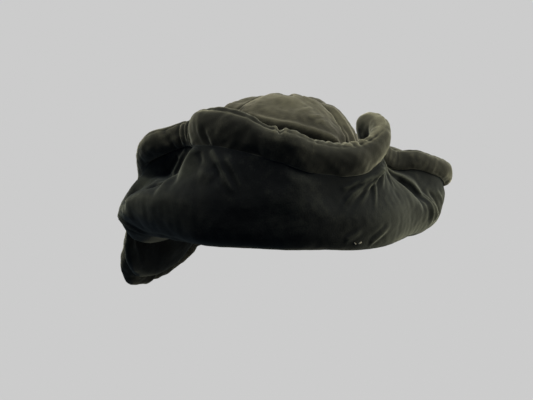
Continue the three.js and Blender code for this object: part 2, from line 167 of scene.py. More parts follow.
BRIM_FOLDS: tuple[Fold, ...] = (
    # The fan of ridges from the right tack, from the front round to the right corner.
    Fold(((49, 60), (43, 56), (35, 50), (29, 48), (24, 48)), 2.2, 1.6, SHARP, 0.3),
    Fold(((45, 58), (38, 53), (32, 47), (26, 44), (21, 43)), 2.2, 2.0, SHARP, 0.4),
    Fold(((43, 56), (37, 49), (31, 42), (28, 38), (25, 31), (21, 20)), 2.8, 3.0, SHARP, 0.4, 0.2),
    Fold(((43, 55), (36, 44), (33, 35), (30, 24)), 2.3, 1.8, SHARP, 0.3),
    Fold(((45, 57), (39, 48), (38, 33), (36, 16)), 2.2, 1.9, SHARP, 0.3),
    Fold(((47, 56), (44, 46), (43, 34)), 3.0, 1.2, ROUND, 0.3),
    Fold(((50, 57), (54, 44), (52, 31)), 2.3, 2.0, SHARP, 0.4),
    Fold(((53, 57), (62, 44), (66, 34), (68, 24)), 2.4, 1.9, SHARP, 0.3),
    Fold(((58, 55), (67, 43), (73, 33), (75, 23), (75, 12), (77, 0), (81, -14)),
         3.0, 3.6, SHARP, 0.2, 0.2, 0, 0.8),
    Fold(((69, 37), (70, 29), (71, 20), (71, 10), (73, 2)), 4.0, -2.8, ROUND, 0, 0, 0.2),
    Fold(((76, 22), (78, 12), (80, 3), (83, -10)), 2.4, 2.4, SHARP, 0.3, 0, 0.2, 0.8),
    Fold(((80, 22), (82, 14), (84, 4), (87, -8)), 2.4, -2.4, ROUND, 0, 0, 0.3, 0.8),
    Fold(((84, 20), (87, 8), (89, -2)), 2.4, 1.8, SHARP, 0.2, 0, 0.2),
    Fold(((35, -9), (38, -5), (41, 0), (45, 7)), 2.6, 1.9, SHARP, 0.3, 0, 0.2),
    Fold(((24, -3), (28, 1), (32, 7)), 2.4, 1.3, SHARP, 0.3, 0, 0.2),
    # The front's left end: its lip, the valley behind it and the small folds beside it.
    Fold(((-38, 76), (-38, 70), (-40, 62), (-42, 55), (-45, 47), (-50, 38), (-55, 30)),
         6.0, 5.0, ROUND, 0, 0.45, 0, 0.85),
    Fold(((-45, 68), (-49, 58), (-53, 49), (-57, 41), (-61, 33), (-67, 28)), 4.6, -9.0, ROUND, 0, 0, 0, 0.9),
    Fold(((-62, 64), (-65, 56), (-67, 48), (-68, 41), (-65, 36)), 2.3, 2.8, SHARP, 0, 0, 0, 0.8),
    Fold(((-67, 58), (-70, 49), (-73, 42), (-77, 36)), 3.5, -2.2, ROUND, 0, 0, 0.1, 0.7),
    Fold(((-27, 76), (-23, 65), (-21, 57), (-18, 46), (-14, 35)), 3.0, 2.2, SHARP, 0.3),
    Fold(((-26, 64), (-23, 58), (-20, 48)), 3.6, -1.4, ROUND, 0, 0, 0.3),
    Fold(((-20, 70), (-17, 60), (-15, 50), (-14, 38)), 3.0, 1.4, SHARP, 0.3),
    Fold(((-34, 57), (-28, 53), (-24, 49)), 7.0, 2.2, ROUND, 0, 0, 0.4, 0.6),
    Fold(((-35, 74), (-33, 67), (-31, 61)), 3.2, -1.8, ROUND, 0, 0, 0.3),
    # The bulge on the left, and the long ridge under it that runs on towards the front.
    Fold(((-92, 24), (-82, 27), (-72, 30), (-64, 28)), 7.0, 3.2, ROUND, 0, 0, 0.2, 0.7),
    Fold(((-90, 31), (-83, 35), (-76, 37), (-70, 38)), 3.6, -0.8, ROUND, 0, 0, 0.2, 0.8),
    Fold(((-88, -5), (-80, -14), (-70, -17), (-58, -15), (-45, -13), (-34, -12)),
         2.6, 2.4, SHARP, 0.4, 0, 0.05, 0.7),
    Fold(((-88, 15), (-80, 11), (-73, 9)), 6.0, -2.2, ROUND, 0, 0, 0.2, 0.7),
    Fold(((-80, 2), (-75, 0), (-69, -3)), 6.0, 1.6, ROUND, 0, 0, 0.3, 0.6),
    # The drooping corner.
    Fold(((-90, -30), (-98, -52), (-103, -70), (-108, -84)), 4.0, 2.4, SHARP, 0.3, 0, 0.2, 0.8),
    Fold(((-84, -32), (-104, -40), (-122, -38)), 6.0, -3.0, ROUND, 0, 0, 0.3, 0.7),
    Fold(((-112, -34), (-120, -58), (-128, -74)), 8.0, 2.5, ROUND, 0.3, 0, 0.2, 0.7),
    Fold(((-132, -26), (-138, -44), (-142, -58)), 7.0, 2.2, ROUND, 0.3, 0, 0.2, 0.7),
    # The fan of ridges from the back tack.
    Fold(((177, 46), (166, 34), (152, 24), (140, 12)), 4.5, 3.0, SHARP, 0.3),
    Fold(((177, 45), (170, 26), (160, 8), (150, -4)), 4.5, 2.8, SHARP, 0.3),
    Fold(((178, 44), (177, 24), (176, 4), (175, -8)), 4.0, 2.4, SHARP, 0.3),
    Fold(((180, 42), (186, 22), (192, 4), (194, -8)), 4.5, 3.0, SHARP, 0.3),
    Fold(((182, 40), (192, 20), (202, -4), (210, -22)), 4.5, 3.2, SHARP, 0.3, 0, 0, 0.7),
    Fold(((176, 40), (172, 28), (168, 14)), 4.0, -2.5),
    Fold(((182, 34), (187, 20), (192, 6)), 4.5, -3.0),
    # Slack across the right corner.
    Fold(((98, -10), (108, 2), (124, 0), (140, 6)), 7.0, 2.0, ROUND, 0, 0, 0.2),
    Fold(((96, 4), (106, -6), (118, -14)), 5.0, -1.8, ROUND, 0, 0, 0.3),
)

CROWN_FOLDS: tuple[Fold, ...] = (
    # The front bulges out over a deep crease that the brim's roll nearly hides.
    Fold(((-40, 50), (-24, 54), (-6, 61), (11, 67), (27, 75), (48, 83)), 4.5, 3.6, ROUND, 0, 0, 0.3, 0.9),
    Fold(((-40, 60), (-24, 64), (-4, 71), (12, 77), (28, 84), (44, 90)), 6.5, -9.5, ROUND, 0, 0, 0.15, 0.9),
    # The two low humps of its top, with a notch between them.
    Fold(((80, 12), (136, 14), (164, 30), (170, 46)), 5.0, -2.6, ROUND, 0, 0.3, 0.0, 0.8),
    Fold(((84, 34), (106, 34), (128, 42)), 14.0, -2.4, ROUND, 0, 0, 0.3),
    Fold(((24, 46), (40, 44), (52, 42)), 2.2, 1.2, SHARP, 0.6, 0, 0.3),
    Fold(((24, 58), (38, 57), (52, 56)), 2.2, 1.3, SHARP, 0.6, 0, 0.3),
    Fold(((29, 63), (38, 63), (50, 63)), 2.0, 1.2, SHARP, 0.6, 0, 0.3),
    Fold(((92, 46), (80, 60), (70, 76), (64, 86)), 4.5, 2.4, SHARP, 0.3, 0, 0.2, 0.8),
    Fold(((230, 30), (262, 46), (296, 60)), 8.0, 2.5, ROUND, 0, 0, 0.3),
    Fold(((-50, 40), (-70, 52), (-88, 70)), 6.0, -2.0, ROUND, 0, 0, 0.2),
    Fold(((140, 30), (150, 56), (166, 78)), 6.0, -2.0, ROUND, 0, 0, 0.2),
    Fold(((180, 24), (192, 52), (196, 80)), 7.0, 1.8, ROUND, 0, 0, 0.3),
    Fold(((100, 30), (114, 58), (118, 84)), 6.0, -1.8, ROUND, 0, 0, 0.3),
)

# ---- curves and surfaces, as whole arrays


def smoothstep(x: Array, low: float, high: float) -> Array:
    """The cubic step 3u^2 - 2u^3, where u goes from 0 at low to 1 at high."""
    u = np.clip((x - low) / (high - low), 0.0, 1.0)
    return u * u * (3.0 - 2.0 * u)


def bell(x: Array, power: float = 2.0) -> Array:
    """exp(-|x|^power)."""
    return np.exp(-(np.abs(x) ** power))


def unit(vectors: Array) -> Array:
    """Vectors divided by their lengths."""
    return vectors / np.maximum(np.linalg.norm(vectors, axis=-1, keepdims=True), 1e-12)


def polar(azimuth: Array, radius: Array, height: Array) -> Array:
    """Points (radius sin azimuth, -radius cos azimuth, height), with the azimuth in degrees.

    Args:
        azimuth: degrees.
        radius: distance from the axis, in mm.
        height: in mm.

    Returns:
        Points in mm, shape (..., 3).
    """
    angle = np.radians(azimuth)
    parts = np.broadcast_arrays(radius * np.sin(angle), -radius * np.cos(angle), height)
    return np.stack(parts, axis=-1)


def azimuths(points: Array) -> Array:
    """Each point's azimuth in degrees, from -180 to 180."""
    return np.degrees(np.arctan2(points[..., 0], -points[..., 1]))


def wrapped(angle: Array) -> Array:
    """Angles in degrees brought between -180 and 180."""
    return (angle + 180.0) % 360.0 - 180.0


def on_cylinder(azimuth: Array, height: Array) -> Array:
    """Azimuth in degrees and height in mm as lengths on a cylinder of radius FOLD_RADIUS."""
    return np.stack([np.radians(azimuth) * FOLD_RADIUS, height], axis=-1)


def catmull(a: Array, b: Array, c: Array, d: Array, f: Array) -> Array:
    """The Catmull-Rom cubic at shares f of the way from b to c, where a comes before b and d after c.

    Args:
        a, b, c, d: four values or points in a row.
        f: shares of the way, shape (n, 1).

    Returns:
        Values or points on the curve, one for each share.
    """
    square = (2 * a - 5 * b + 4 * c - d) * f**2
    cube = (3 * b - a - 3 * c + d) * f**3
    return 0.5 * (2 * b + (c - a) * f + square + cube)


def through(path: Sequence[tuple[float, float]], legs: int = 8) -> Array:
    """A Catmull-Rom curve through a few points, in the given number of steps for each leg.

    Args:
        path: the points.
        legs: how many steps from one point to the next.

    Returns:
        Points on the curve, shape (m, 2).
    """
    points = np.array(path, dtype=float)
    ends = np.concatenate([[2 * points[0] - points[1]], points, [2 * points[-1] - points[-2]]])
    f = np.linspace(0.0, 1.0, legs, endpoint=False)[:, None]
    curves = [catmull(*ends[i : i + 4], f) for i in range(len(points) - 1)]
    return np.concatenate([*curves, points[-1:]])


def section_at(t: Array) -> Section:
    """The sizes of the sections at section numbers t, on a closed Catmull-Rom curve.

    Args:
        t: section numbers, shape (n,); whole numbers are rows, and the count of rows is one turn.

    Returns:
        A section whose sizes are arrays, shape (n,). Azimuths go on growing by 360 with each turn.
    """
    table = np.array([section[1:] for section in SECTIONS], dtype=float)
    turn = np.array([360.0 if field.endswith("_az") else 0.0 for field in Section._fields[1:]])
    whole = np.floor(t).astype(int)
    # The rows near the start of the table run on from its end without a jump in azimuth.
    places = [whole + k for k in (-1, 0, 1, 2)]
    rows = (table[place % len(table)] + turn * (place // len(table))[:, None] for place in places)
    return Section("between", *catmull(*rows, (t - whole)[:, None]).T)


def rib_stations(t: Array) -> Array:
    """The stations of the brim's ribs: foot, root, fold, belly, waist and the edge roll's centre.

    The foot and the root lie on the ellipse of the head opening, whose radius at an azimuth is
    1 / hypot(sin / half width, cos / half length). The belly's azimuth is a share of the way from the
    fold's to the waist's.

    Args:
        t: section numbers, shape (n,).

    Returns:
        Points in mm, shape (n, 6, 3).
    """
    v = section_at(t)
    angle = np.radians(v.fold_az)
    ring = 1.0 / np.hypot(np.sin(angle) / Brim.opening_half_width, np.cos(angle) / Brim.opening_half_length)
    belly_az = v.fold_az + Brim.belly_towards_waist * (v.waist_az - v.fold_az)
    stations = (
        polar(v.fold_az, ring, Brim.foot_height),
        polar(v.fold_az, ring, Brim.root_depth),
        polar(v.fold_az, v.fold_r, v.fold_z),
        polar(belly_az, v.belly_r, v.belly_z),
        polar(v.waist_az, v.waist_r, v.waist_z),
        polar(v.roll_az, v.roll_r, v.roll_z),
    )
    return np.stack(stations, axis=1)


class RollFrame(NamedTuple):
    """The edge roll's centre line, its axes across away from the brim and out, and its half width."""

    centre: Array
    across: Array
    out: Array
    half: Array


def roll_frame(t: Array) -> RollFrame:
    """The roll's frame at section numbers t.

    Along is the difference of the centre over one frame step to each side. Across is the mean of the
    directions from waist to roll at five steps, weighted 1, 2, 3, 2, 1, made square to along. Out is
    their cross product.

    Args:
        t: section numbers, shape (n,).

    Returns:
        The frame, with one row for each section number.
    """
    step = EdgeRoll.frame_step
    centre = rib_stations(t)[:, 5]
    along = unit(rib_stations(t + step)[:, 5] - rib_stations(t - step)[:, 5])
    across = np.zeros_like(along)
    for k in (-2, -1, 0, 1, 2):
        stations = rib_stations(t + k * step)
        across += (3 - abs(k)) * unit(stations[:, 5] - stations[:, 4])
    across = unit(across - along * (across * along).sum(axis=1, keepdims=True))
    return RollFrame(centre, across, np.cross(along, across), section_at(t).roll_half)


def curve_through(points: Array, shares: Array) -> Array:
    """Cubic Hermite curves through rows of points, read at shares of each row's chord length.

    A tangent is the mean of the two slopes beside its point, each weighted with the other's span. An
    end tangent is 1.5 times the end slope less half the next tangent.

    Args:
        points: shape (n, k, 3).
        shares: shape (m,), from 0 to 1.

    Returns:
        Points, shape (n, m, 3).
    """
    chord = points[:, 1:] - points[:, :-1]
    span = np.maximum(np.linalg.norm(chord, axis=2), TINY)
    slope = chord / span[..., None]
    before, after = span[:, :-1, None], span[:, 1:, None]
    inner = (slope[:, :-1] * after + slope[:, 1:] * before) / (before + after)
    first = 1.5 * slope[:, :1] - 0.5 * inner[:, :1]
    last = 1.5 * slope[:, -1:] - 0.5 * inner[:, -1:]
    tangent = np.concatenate([first, inner, last], axis=1)
    reach = np.concatenate([np.zeros((len(points), 1)), np.cumsum(span, axis=1)], axis=1)
    distance = shares[None, :] * reach[:, -1:]
    leg = (distance[..., None] > reach[:, None, 1:-1]).sum(axis=-1)
    row = np.arange(len(points))[:, None]
    length = span[row, leg][..., None]
    u = np.clip((distance - reach[row, leg])[..., None] / length, 0.0, 1.0)
    return (
        (2 * u**3 - 3 * u**2 + 1) * points[row, leg]
        + (u**3 - 2 * u**2 + u) * length * tangent[row, leg]
        + (-2 * u**3 + 3 * u**2) * points[row, leg + 1]
        + (u**3 - u**2) * length * tangent[row, leg + 1]
    )


def beside(grid: Array, axis: int, wraps: bool) -> tuple[Array, Array]:
    """Each point's neighbours before and after it along an axis. At an open edge it is its own.

    Args:
        grid: values or points, shape (rows, columns) or (rows, columns, 3).
        axis: 0 for rows or 1 for columns.
        wraps: whether the last runs on into the first.

    Returns:
        The neighbours before and after, of the grid's shape.
    """
    place = np.arange(grid.shape[axis])
    mode = "wrap" if wraps else "clip"
    return np.take(grid, place - 1, axis, mode=mode), np.take(grid, place + 1, axis, mode=mode)


def grid_normals(grid: Array, closes_round: bool) -> Array:
    """Unit normals of a grid (rows, columns, 3): the cross product of its central differences.

    Args:
        grid: points, shape (rows, columns, 3).
        closes_round: whether the last row runs on into the first.

    Returns:
        Unit normals, of the grid's shape.
    """
    before, after = beside(grid, 0, True)
    round_it = after - before if closes_round else np.gradient(grid, axis=0)
    return unit(np.cross(round_it, np.gradient(grid, axis=1)))


def bend(grid: Array, normals: Array, closes_round: bool, closes_across: bool = False) -> Array:
    """How sharply a grid bulges, per mm: each point's offset from its neighbours' mean, along its normal.

    It is positive on a crest and negative in a hollow, and it is divided by the square of the spacing.

    Args:
        grid: points in mm, shape (rows, columns, 3).
        normals: their unit normals.
        closes_round: whether the last row runs on into the first.
        closes_across: whether the last column runs on into the first.

    Returns:
        Values, shape (rows, columns).
    """
    total = np.zeros(grid.shape[:2])
    for before, after in (beside(grid, 0, closes_round), beside(grid, 1, closes_across)):
        spacing = np.maximum(np.linalg.norm(after - before, axis=2) / 2, LEAST_SPACING)
        total += ((grid - (before + after) / 2) * normals).sum(axis=2) / spacing**2
    return total


def soften(values: Array, closes_round: bool) -> Array:
    """Values of a grid, twice made half themselves and half the mean of their four neighbours.

    Args:
        values: shape (rows, columns).
        closes_round: whether the last row runs on into the first.

    Returns:
        The softened values.
    """
    for _ in range(2):
        values = 0.5 * values + 0.125 * sum(beside(values, 0, closes_round) + beside(values, 1, False))
    return values


def ripples(points: Array, wavelength: float, seed: int, waves: int = 14) -> Array:
    """Smooth seeded unevenness from about -1 to 1: plane waves in random directions, summed.

    The value is the sum of sin(2 pi (direction . point) / length + phase), divided by sqrt(waves).
    Each wave's length lies within a third of the wavelength given, in mm.

    Args:
        points: points in mm, shape (..., 3).
        wavelength: in mm.
        seed: of the random waves.
        waves: how many are summed.

    Returns:
        A value for each point.
    """
    rng = np.random.default_rng(seed)
    direction = unit(rng.normal(size=(waves, 3)))
    length = wavelength * rng.uniform(0.75, 1.33, waves)
    phase = rng.uniform(0.0, 2 * math.pi, waves)
    total = np.zeros(points.shape[:-1])
    for k in range(waves):
        total += np.sin(points @ direction[k] * (2 * math.pi / length[k]) + phase[k])
    return total / math.sqrt(waves)


def slack(points: Array, waves: Sequence[tuple[float, float, int]]) -> Array:
    """The sum of height * ripples, for waves given by height (mm), wavelength (mm) and seed."""
    return sum(height * ripples(points, wavelength, seed) for height, wavelength, seed in waves)


def lay_line(marks: Array, keys: Array, points: Array, reach: float) -> Array:
    """A line laid on a surface whose points are known by keys of their own.

    Each sample is the mean of the points, weighted with exp(-(gap / reach)^2), where the gap is measured
    between keys, less the smallest one.

    Args:
        marks: the line in the terms of the keys, in mm, shape (m, 2).
        keys: each point's place in those terms, shape (n, 2).
        points: the surface's points in mm, shape (n, 3).
        reach: how far apart, in mm, a point still counts.

    Returns:
        The line in space, shape (m, 3).
    """
    gap = ((marks[:, None, :] - keys[None, :, :]) ** 2).sum(axis=2)
    weight = np.exp(-(gap - gap.min(axis=1, keepdims=True)) / reach**2)
    return weight @ points / weight.sum(axis=1, keepdims=True)


def fold_relief(fold: Fold, line: Array, points: Array, normals: Array) -> Array:
    """How far each point is moved out along its normal by a fold along a line.

    It is height * exp(-(d / width)^power) for the distance d from the line, less the grooves beside it.
    It sets in at the start of the line and dies away towards its end.

    Args:
        fold: the fold's sizes.
        line: its line in space, in mm, shape (m, 3).
        points: points of the surface in mm, shape (n, 3).
        normals: their unit normals.

    Returns:
        Relief in mm, shape (n,).
    """
    near = np.all(points > line.min(axis=0) - FOLD_REACH * fold.width, axis=1)
    near &= np.all(points < line.max(axis=0) + FOLD_REACH * fold.width, axis=1)
    leg = line[1:] - line[:-1]
    length = np.maximum(np.linalg.norm(leg, axis=1), TINY)
    offset = points[near][:, None, :] - line[None, :-1, :]
    share = np.clip((offset * leg).sum(axis=2) / length**2, 0.0, 1.0)
    away = offset - share[..., None] * leg
    distance = np.linalg.norm(away, axis=2)
    best = distance.argmin(axis=1)
    row = np.arange(len(best))
    gone = (best + share[row, best]) / len(leg)
    left = np.cross(normals[near], leg[best] / length[best, None])
    side = np.sign((left * away[row, best]).sum(axis=1))
    q = distance[row, best] / (fold.width * (1.0 + fold.lean * side))
    rise = bell(q, fold.crest.value) - fold.groove * bell((q - GROOVE_PLACE) / GROOVE_SPREAD)
    sets_in = smoothstep(gone, -TINY, max(fold.starts, TINY))
    relief = np.zeros(len(points))
    relief[near] = fold.height * rise * sets_in * (1.0 - smoothstep(gone, fold.stops, 1.0))
    return relief


# ---- meshes


def wall_quads(rows: int, columns: int, closes_round: bool) -> Array:
    """Quads of a closed wall whose outer sheet of points comes first and its inner sheet second.

    Point (sheet, i, j) has the number (sheet * rows + i) * columns + j. Each sheet gives a quad for
    each cell, turned to face out, and a strip of quads closes each open rim.

    Args:
        rows: rows of points in a sheet.
        columns: points in a row.
        closes_round: whether the last row runs on into the first.

    Returns:
        Four point numbers for each face, shape (m, 4).
    """
    count = rows if closes_round else rows - 1
    i, j = (part.ravel() for part in np.meshgrid(np.arange(count), np.arange(columns - 1), indexing="ij"))

    def quads(*corners: tuple[int, Array | int, Array | int]) -> Array:
        """Quads from the sheet, row and column of each of their corners."""
        return np.stack([(s * rows + row % rows) * columns + column for s, row, column in corners], axis=1)

    line, top = np.arange(count), columns - 1
    parts = [
        quads((0, i, j), (0, i + 1, j), (0, i + 1, j + 1), (0, i, j + 1)),
        quads((1, i, j), (1, i, j + 1), (1, i + 1, j + 1), (1, i + 1, j)),
        quads((0, line, 0), (1, line, 0), (1, line + 1, 0), (0, line + 1, 0)),
        quads((0, line, top), (0, line + 1, top), (1, line + 1, top), (1, line, top)),
    ]
    if not closes_round:
        up, end = np.arange(columns - 1), rows - 1
        parts.append(quads((0, 0, up), (0, 0, up + 1), (1, 0, up + 1), (1, 0, up)))
        parts.append(quads((0, end, up), (1, end, up), (1, end, up + 1), (0, end, up + 1)))
    return np.concatenate(parts)


def tube_quads(rows: int, sides: int, closes_round: bool) -> Array:
    """Quads of a tube: point (i, k) has the number i * sides + k, and faces look away from its line.

    Args:
        rows: rings of points.
        sides: points in a ring.
        closes_round: whether the last ring runs on into the first.

    Returns:
        Four point numbers for each face, shape (m, 4).
    """
    count = rows if closes_round else rows - 1
    i, k = (part.ravel() for part in np.meshgrid(np.arange(count), np.arange(sides), indexing="ij"))
    here, there, turned = i * sides, (i + 1) % rows * sides, (k + 1) % sides
    return np.stack([here + k, here + turned, there + turned, there + k], axis=1)


def add_piece(name: str, points: Array, quads: Array, material: Material) -> Piece:
    """A smooth piece from points in mm and quads, in the scene at the origin.

    Args:
        name: the piece's name.
        points: shape (n, 3).
        quads: four point numbers for each face, shape (m, 4).
        material: its finish.

    Returns:
        The new object.
    """
    mesh = bpy.data.meshes.new(name)
    mesh.from_pydata(points * MM, [], quads)
    mesh.shade_smooth()
    mesh.update()
    mesh.materials.append(material)
    piece = bpy.data.objects.new(name, mesh)
    bpy.context.scene.collection.objects.link(piece)
    return piece


def set_crest(piece: Piece, values: Array) -> None:
    """Puts the crest attribute on a piece: a number for each point of its mesh."""
    layer = piece.data.attributes.new("crest", "FLOAT", "POINT")
    layer.data.foreach_set("value", np.ascontiguousarray(values, dtype=np.float32))


class PaintedLightPatch(NamedTuple):
    """A patch of painted light where the hat is lit: its middle and size in mm, and how much paler it makes
    the colour, from 0 to 1.
    """

    x: float
    y: float
    z: float
    size: float
    paler: float


# Painted light: patches that make the pile's colour paler where the lights fall on the crown, the brim and
# the roll.
PAINTED_LIGHT_PATCHES: tuple[PaintedLightPatch, ...] = (
    # Painted highlights on the crown's top and the top of its right gore, where the lights fall.
    PaintedLightPatch(10, -20, 108, 30, 0.65),
    PaintedLightPatch(62, -14, 92, 14, 0.6),
    # Painted highlights on the brim's left bulge, the lip above it, and the right corner.
    PaintedLightPatch(-131, -17, 28, 13, 1.0),
    PaintedLightPatch(-80, -103, 60, 10, 0.6),
    PaintedLightPatch(154, -27, -3, 16, 0.9),
    # A painted highlight on the roll on the left.
    PaintedLightPatch(-108, -39, 76, 18, 0.4),
)


def painted_light(points: Array) -> Array:
    """How much the painted light pales the colour at each point: the sum of paler * exp(-(distance /
    size)^2).
    """
    gaps = [np.linalg.norm(points - np.array(patch[:3]), axis=-1) for patch in PAINTED_LIGHT_PATCHES]
    return sum(patch.paler * bell(gap / patch.size) for patch, gap in zip(PAINTED_LIGHT_PATCHES, gaps, strict=True))


def add_wall(
    name: str,
    middle: Array,
    normals: Array,
    relief: Array,
    levels: tuple[float, float],
    closes_round: bool,
    material: Material,
) -> Piece:
    """A closed wall of velvet between two faces that lie along the normals of one surface.

    Its crest attribute is the outer face's bend times a gain, within limits, plus the patches of painted
    light.
    The inner face follows a share of the relief and has a share of the attribute.

    Args:
        name: the piece's name.
        middle: points of the surface in mm, shape (rows, columns, 3).
        normals: its unit normals, of the same shape.
        relief: how far folds and slack move the outer face out, in mm, shape (rows, columns).
        levels: how far out the outer and the inner face lie without relief, in mm.
        closes_round: whether the last row runs on into the first.
        material: the velvet.

    Returns:
        The wall's object.
    """
    outer = middle + normals * (relief + levels[0])[..., None]
    inner = middle + normals * (relief * INNER_RELIEF_SHARE + levels[1])[..., None]
    points = np.concatenate([outer.reshape(-1, 3), inner.reshape(-1, 3)])
    piece = add_piece(name, points, wall_quads(*middle.shape[:2], closes_round), material)
    sharp = soften(bend(outer, grid_normals(outer, closes_round), closes_round), closes_round)
    # The crest carries the painted light of the lit patches as well as the bend.
    crest = (np.clip(sharp * WALL_CREST_GAIN, *CREST_LIMITS) + painted_light(outer)).ravel()
    set_crest(piece, np.concatenate([crest, INNER_CREST_SHARE * crest]))
    return piece


# ---- finishes


def linear(hex_colour: str) -> tuple[float, float, float, float]:
    """An sRGB hex colour as linear red, green and blue, with alpha 1.

    Args:
        hex_colour: such as #9c9789.

    Returns:
        Red, green, blue and alpha, from 0 to 1.
    """
    parts = [int(hex_colour[i : i + 2], 16) / 255 for i in (1, 3, 5)]
    red, green, blue = ((c / 12.92 if c <= 0.04045 else ((c + 0.055) / 1.055) ** 2.4) for c in parts)
    return (red, green, blue, 1.0)


def add_node(tree: Tree, kind: str, settings: dict[str, object] | None = None, **sockets: object) -> Node:
    """Adds a node with its settings and inputs.

    Args:
        tree: the material's node tree.
        kind: the node's type without ShaderNode before it, such as TexNoise.
        settings: properties of the node itself.
        sockets: inputs by name, with an underscore for each space, or by number after an i. A socket
            is linked and anything else is set as its value.

    Returns:
        The node.
    """
    node = tree.nodes.new(f"ShaderNode{kind}")
    for key, value in (settings or {}).items():
        setattr(node, key, value)
    for key, value in sockets.items():
        numbered = key[0] == "i" and key[1:].isdigit()
        target = node.inputs[int(key[1:]) if numbered else key.replace("_", " ")]
        if isinstance(value, bpy.types.NodeSocket):
            tree.links.new(value, target)
        else:
            target.default_value = value
    return node


@dataclass(frozen=True)
class Finish:
    """A named finish, whose shader each kind of finish adds."""

    name: str

    def make(self) -> Material:
        """Builds the material.

        Returns:
            The material.
        """
        material = bpy.data.materials.new(self.name)
        material.use_nodes = True
        tree = material.node_tree
        tree.nodes.clear()
        add_node(tree, "OutputMaterial", Surface=self.shader(tree).outputs[0])
        return material

    def shader(self, tree: Tree) -> Node:
        """Adds the finish's nodes and gives the last one."""
        raise NotImplementedError


class Marks(NamedTuple):
    """Marks in a pile: their size across in mm, their fineness, and how much paler they make it."""

    size: float
    detail: float
    paler: float


@dataclass(frozen=True)
class Velvet(Finish):
    """Cotton velvet: a dense cut pile that looks dark end on and shows a pale bloom at its bends.

    The pile scatters light sideways, so a slanting face is lighter than one that is looked at straight
    on. Where the cloth bends over a crest the pile opens and shows lighter; in a hollow it closes. The
    crest attribute carries both, and patches of painted light where the hat is lit, and on the right ear's
    rim rubbed pile with painted light.
    """

    closed_pile: str  # colour of the pile in hollows and where it is looked into
    open_pile: str  # colour over crests and where it has been rubbed
    bloom: str  # colour of the light that the pile scatters at a slant
    bloom_spread: float = 0.42
    mottle: Marks = Marks(7.0, 2.0, 0.5)
    rubbed: Marks = Marks(42.0, 3.0, 0.9)  # where hands have brushed the pile
    tufts: Marks = Marks(1.3, 2.0, 0.5)  # about 0.4 mm, and drawn coarser, so that they show
    relief: float = 0.5  # mm
    mottle_relief: float = 0.6  # of the tufts' relief

    def shader(self, tree: Tree) -> Node:
        """Paleness is the crest plus each noise less a half, times its marks' strength; tufts give bump.

        Args:
            tree: the material's empty node tree.

        Returns:
            The shader's node.
        """
        place = add_node(tree, "TexCoord").outputs["Object"]
        # The crest attribute carries the bend, the patches of painted light, and the ear rim's wear with
        # painted light.
        wear_and_light = add_node(tree, "Attribute", {"attribute_name": "crest"}).outputs["Fac"]
        times = {"operation": "MULTIPLY_ADD"}
        noises = []
        for size, detail, paler in (self.mottle, self.rubbed, self.tufts):
            noise = add_node(tree, "TexNoise", Vector=place, Scale=1.0 / (size * MM), Detail=detail)
            noises.append(noise.outputs[0])
            scaled = add_node(tree, "Math", times, i0=noises[-1], i1=paler, i2=-0.5 * paler).outputs[0]
            wear_and_light = add_node(tree, "Math", {"operation": "ADD"}, i0=scaled, i1=wear_and_light).outputs[0]
        shade = add_node(tree, "Clamp", Value=wear_and_light).outputs[0]
        piles = {"i6": linear(self.closed_pile), "i7": linear(self.open_pile)}
        colour = add_node(tree, "Mix", {"data_type": "RGBA"}, i0=shade, **piles).outputs[2]
        raised = add_node(tree, "Math", times, i0=noises[0], i1=self.mottle_relief, i2=noises[2]).outputs[0]
        bump = add_node(tree, "Bump", Strength=0.35, Distance=self.relief * MM, Height=raised)
        return add_node(
            tree,
            "BsdfPrincipled",
            Base_Color=colour,
            Roughness=1.0,
            Specular_IOR_Level=0.1,
            Sheen_Weight=1.0,
            Sheen_Roughness=self.bloom_spread,
            Sheen_Tint=linear(self.bloom),
            Normal=bump.outputs[0],
        )


@dataclass(frozen=True)
class Thread(Finish):
    """Undyed cotton sewing thread, matt and a little fuzzy, darker where its plies turn in."""

    name: str = "cotton_thread"
    pale: str = "#9c9789"
    dark: str = "#7d796d"
    ply: float = 0.6  # mm

    def shader(self, tree: Tree) -> Node:
        """A mix of both colours by noise of the size of a ply.

        Args:
            tree: the material's empty node tree.

        Returns:
            The shader's node.
        """
        place = add_node(tree, "TexCoord").outputs["Object"]
        twist = add_node(tree, "TexNoise", Vector=place, Scale=1.0 / (self.ply * MM), Detail=2.0).outputs[0]
        threads = {"i6": linear(self.dark), "i7": linear(self.pale)}
        colour = add_node(tree, "Mix", {"data_type": "RGBA"}, i0=twist, **threads).outputs[2]
        return add_node(tree, "BsdfPrincipled", Base_Color=colour, Roughness=0.85, Sheen_Weight=0.3)


@dataclass(frozen=True)
class Paper(Finish):
    """Matt studio paper, evenly bright: it glows by itself and takes next to no light."""

    name: str = "studio_paper"
    colour: str = "#020202"
    glow: float = 0.603

    def shader(self, tree: Tree) -> Node:
        """A dark matt surface with a white glow.

        Args:
            tree: the material's empty node tree.

        Returns:
            The shader's node.
        """
        return add_node(
            tree,
            "BsdfPrincipled",
            Base_Color=linear(self.colour),
            Roughness=1.0,
            Specular_IOR_Level=0.0,
            Emission_Color=linear("#ffffff"),
            Emission_Strength=self.glow,
        )


# ---- the brim


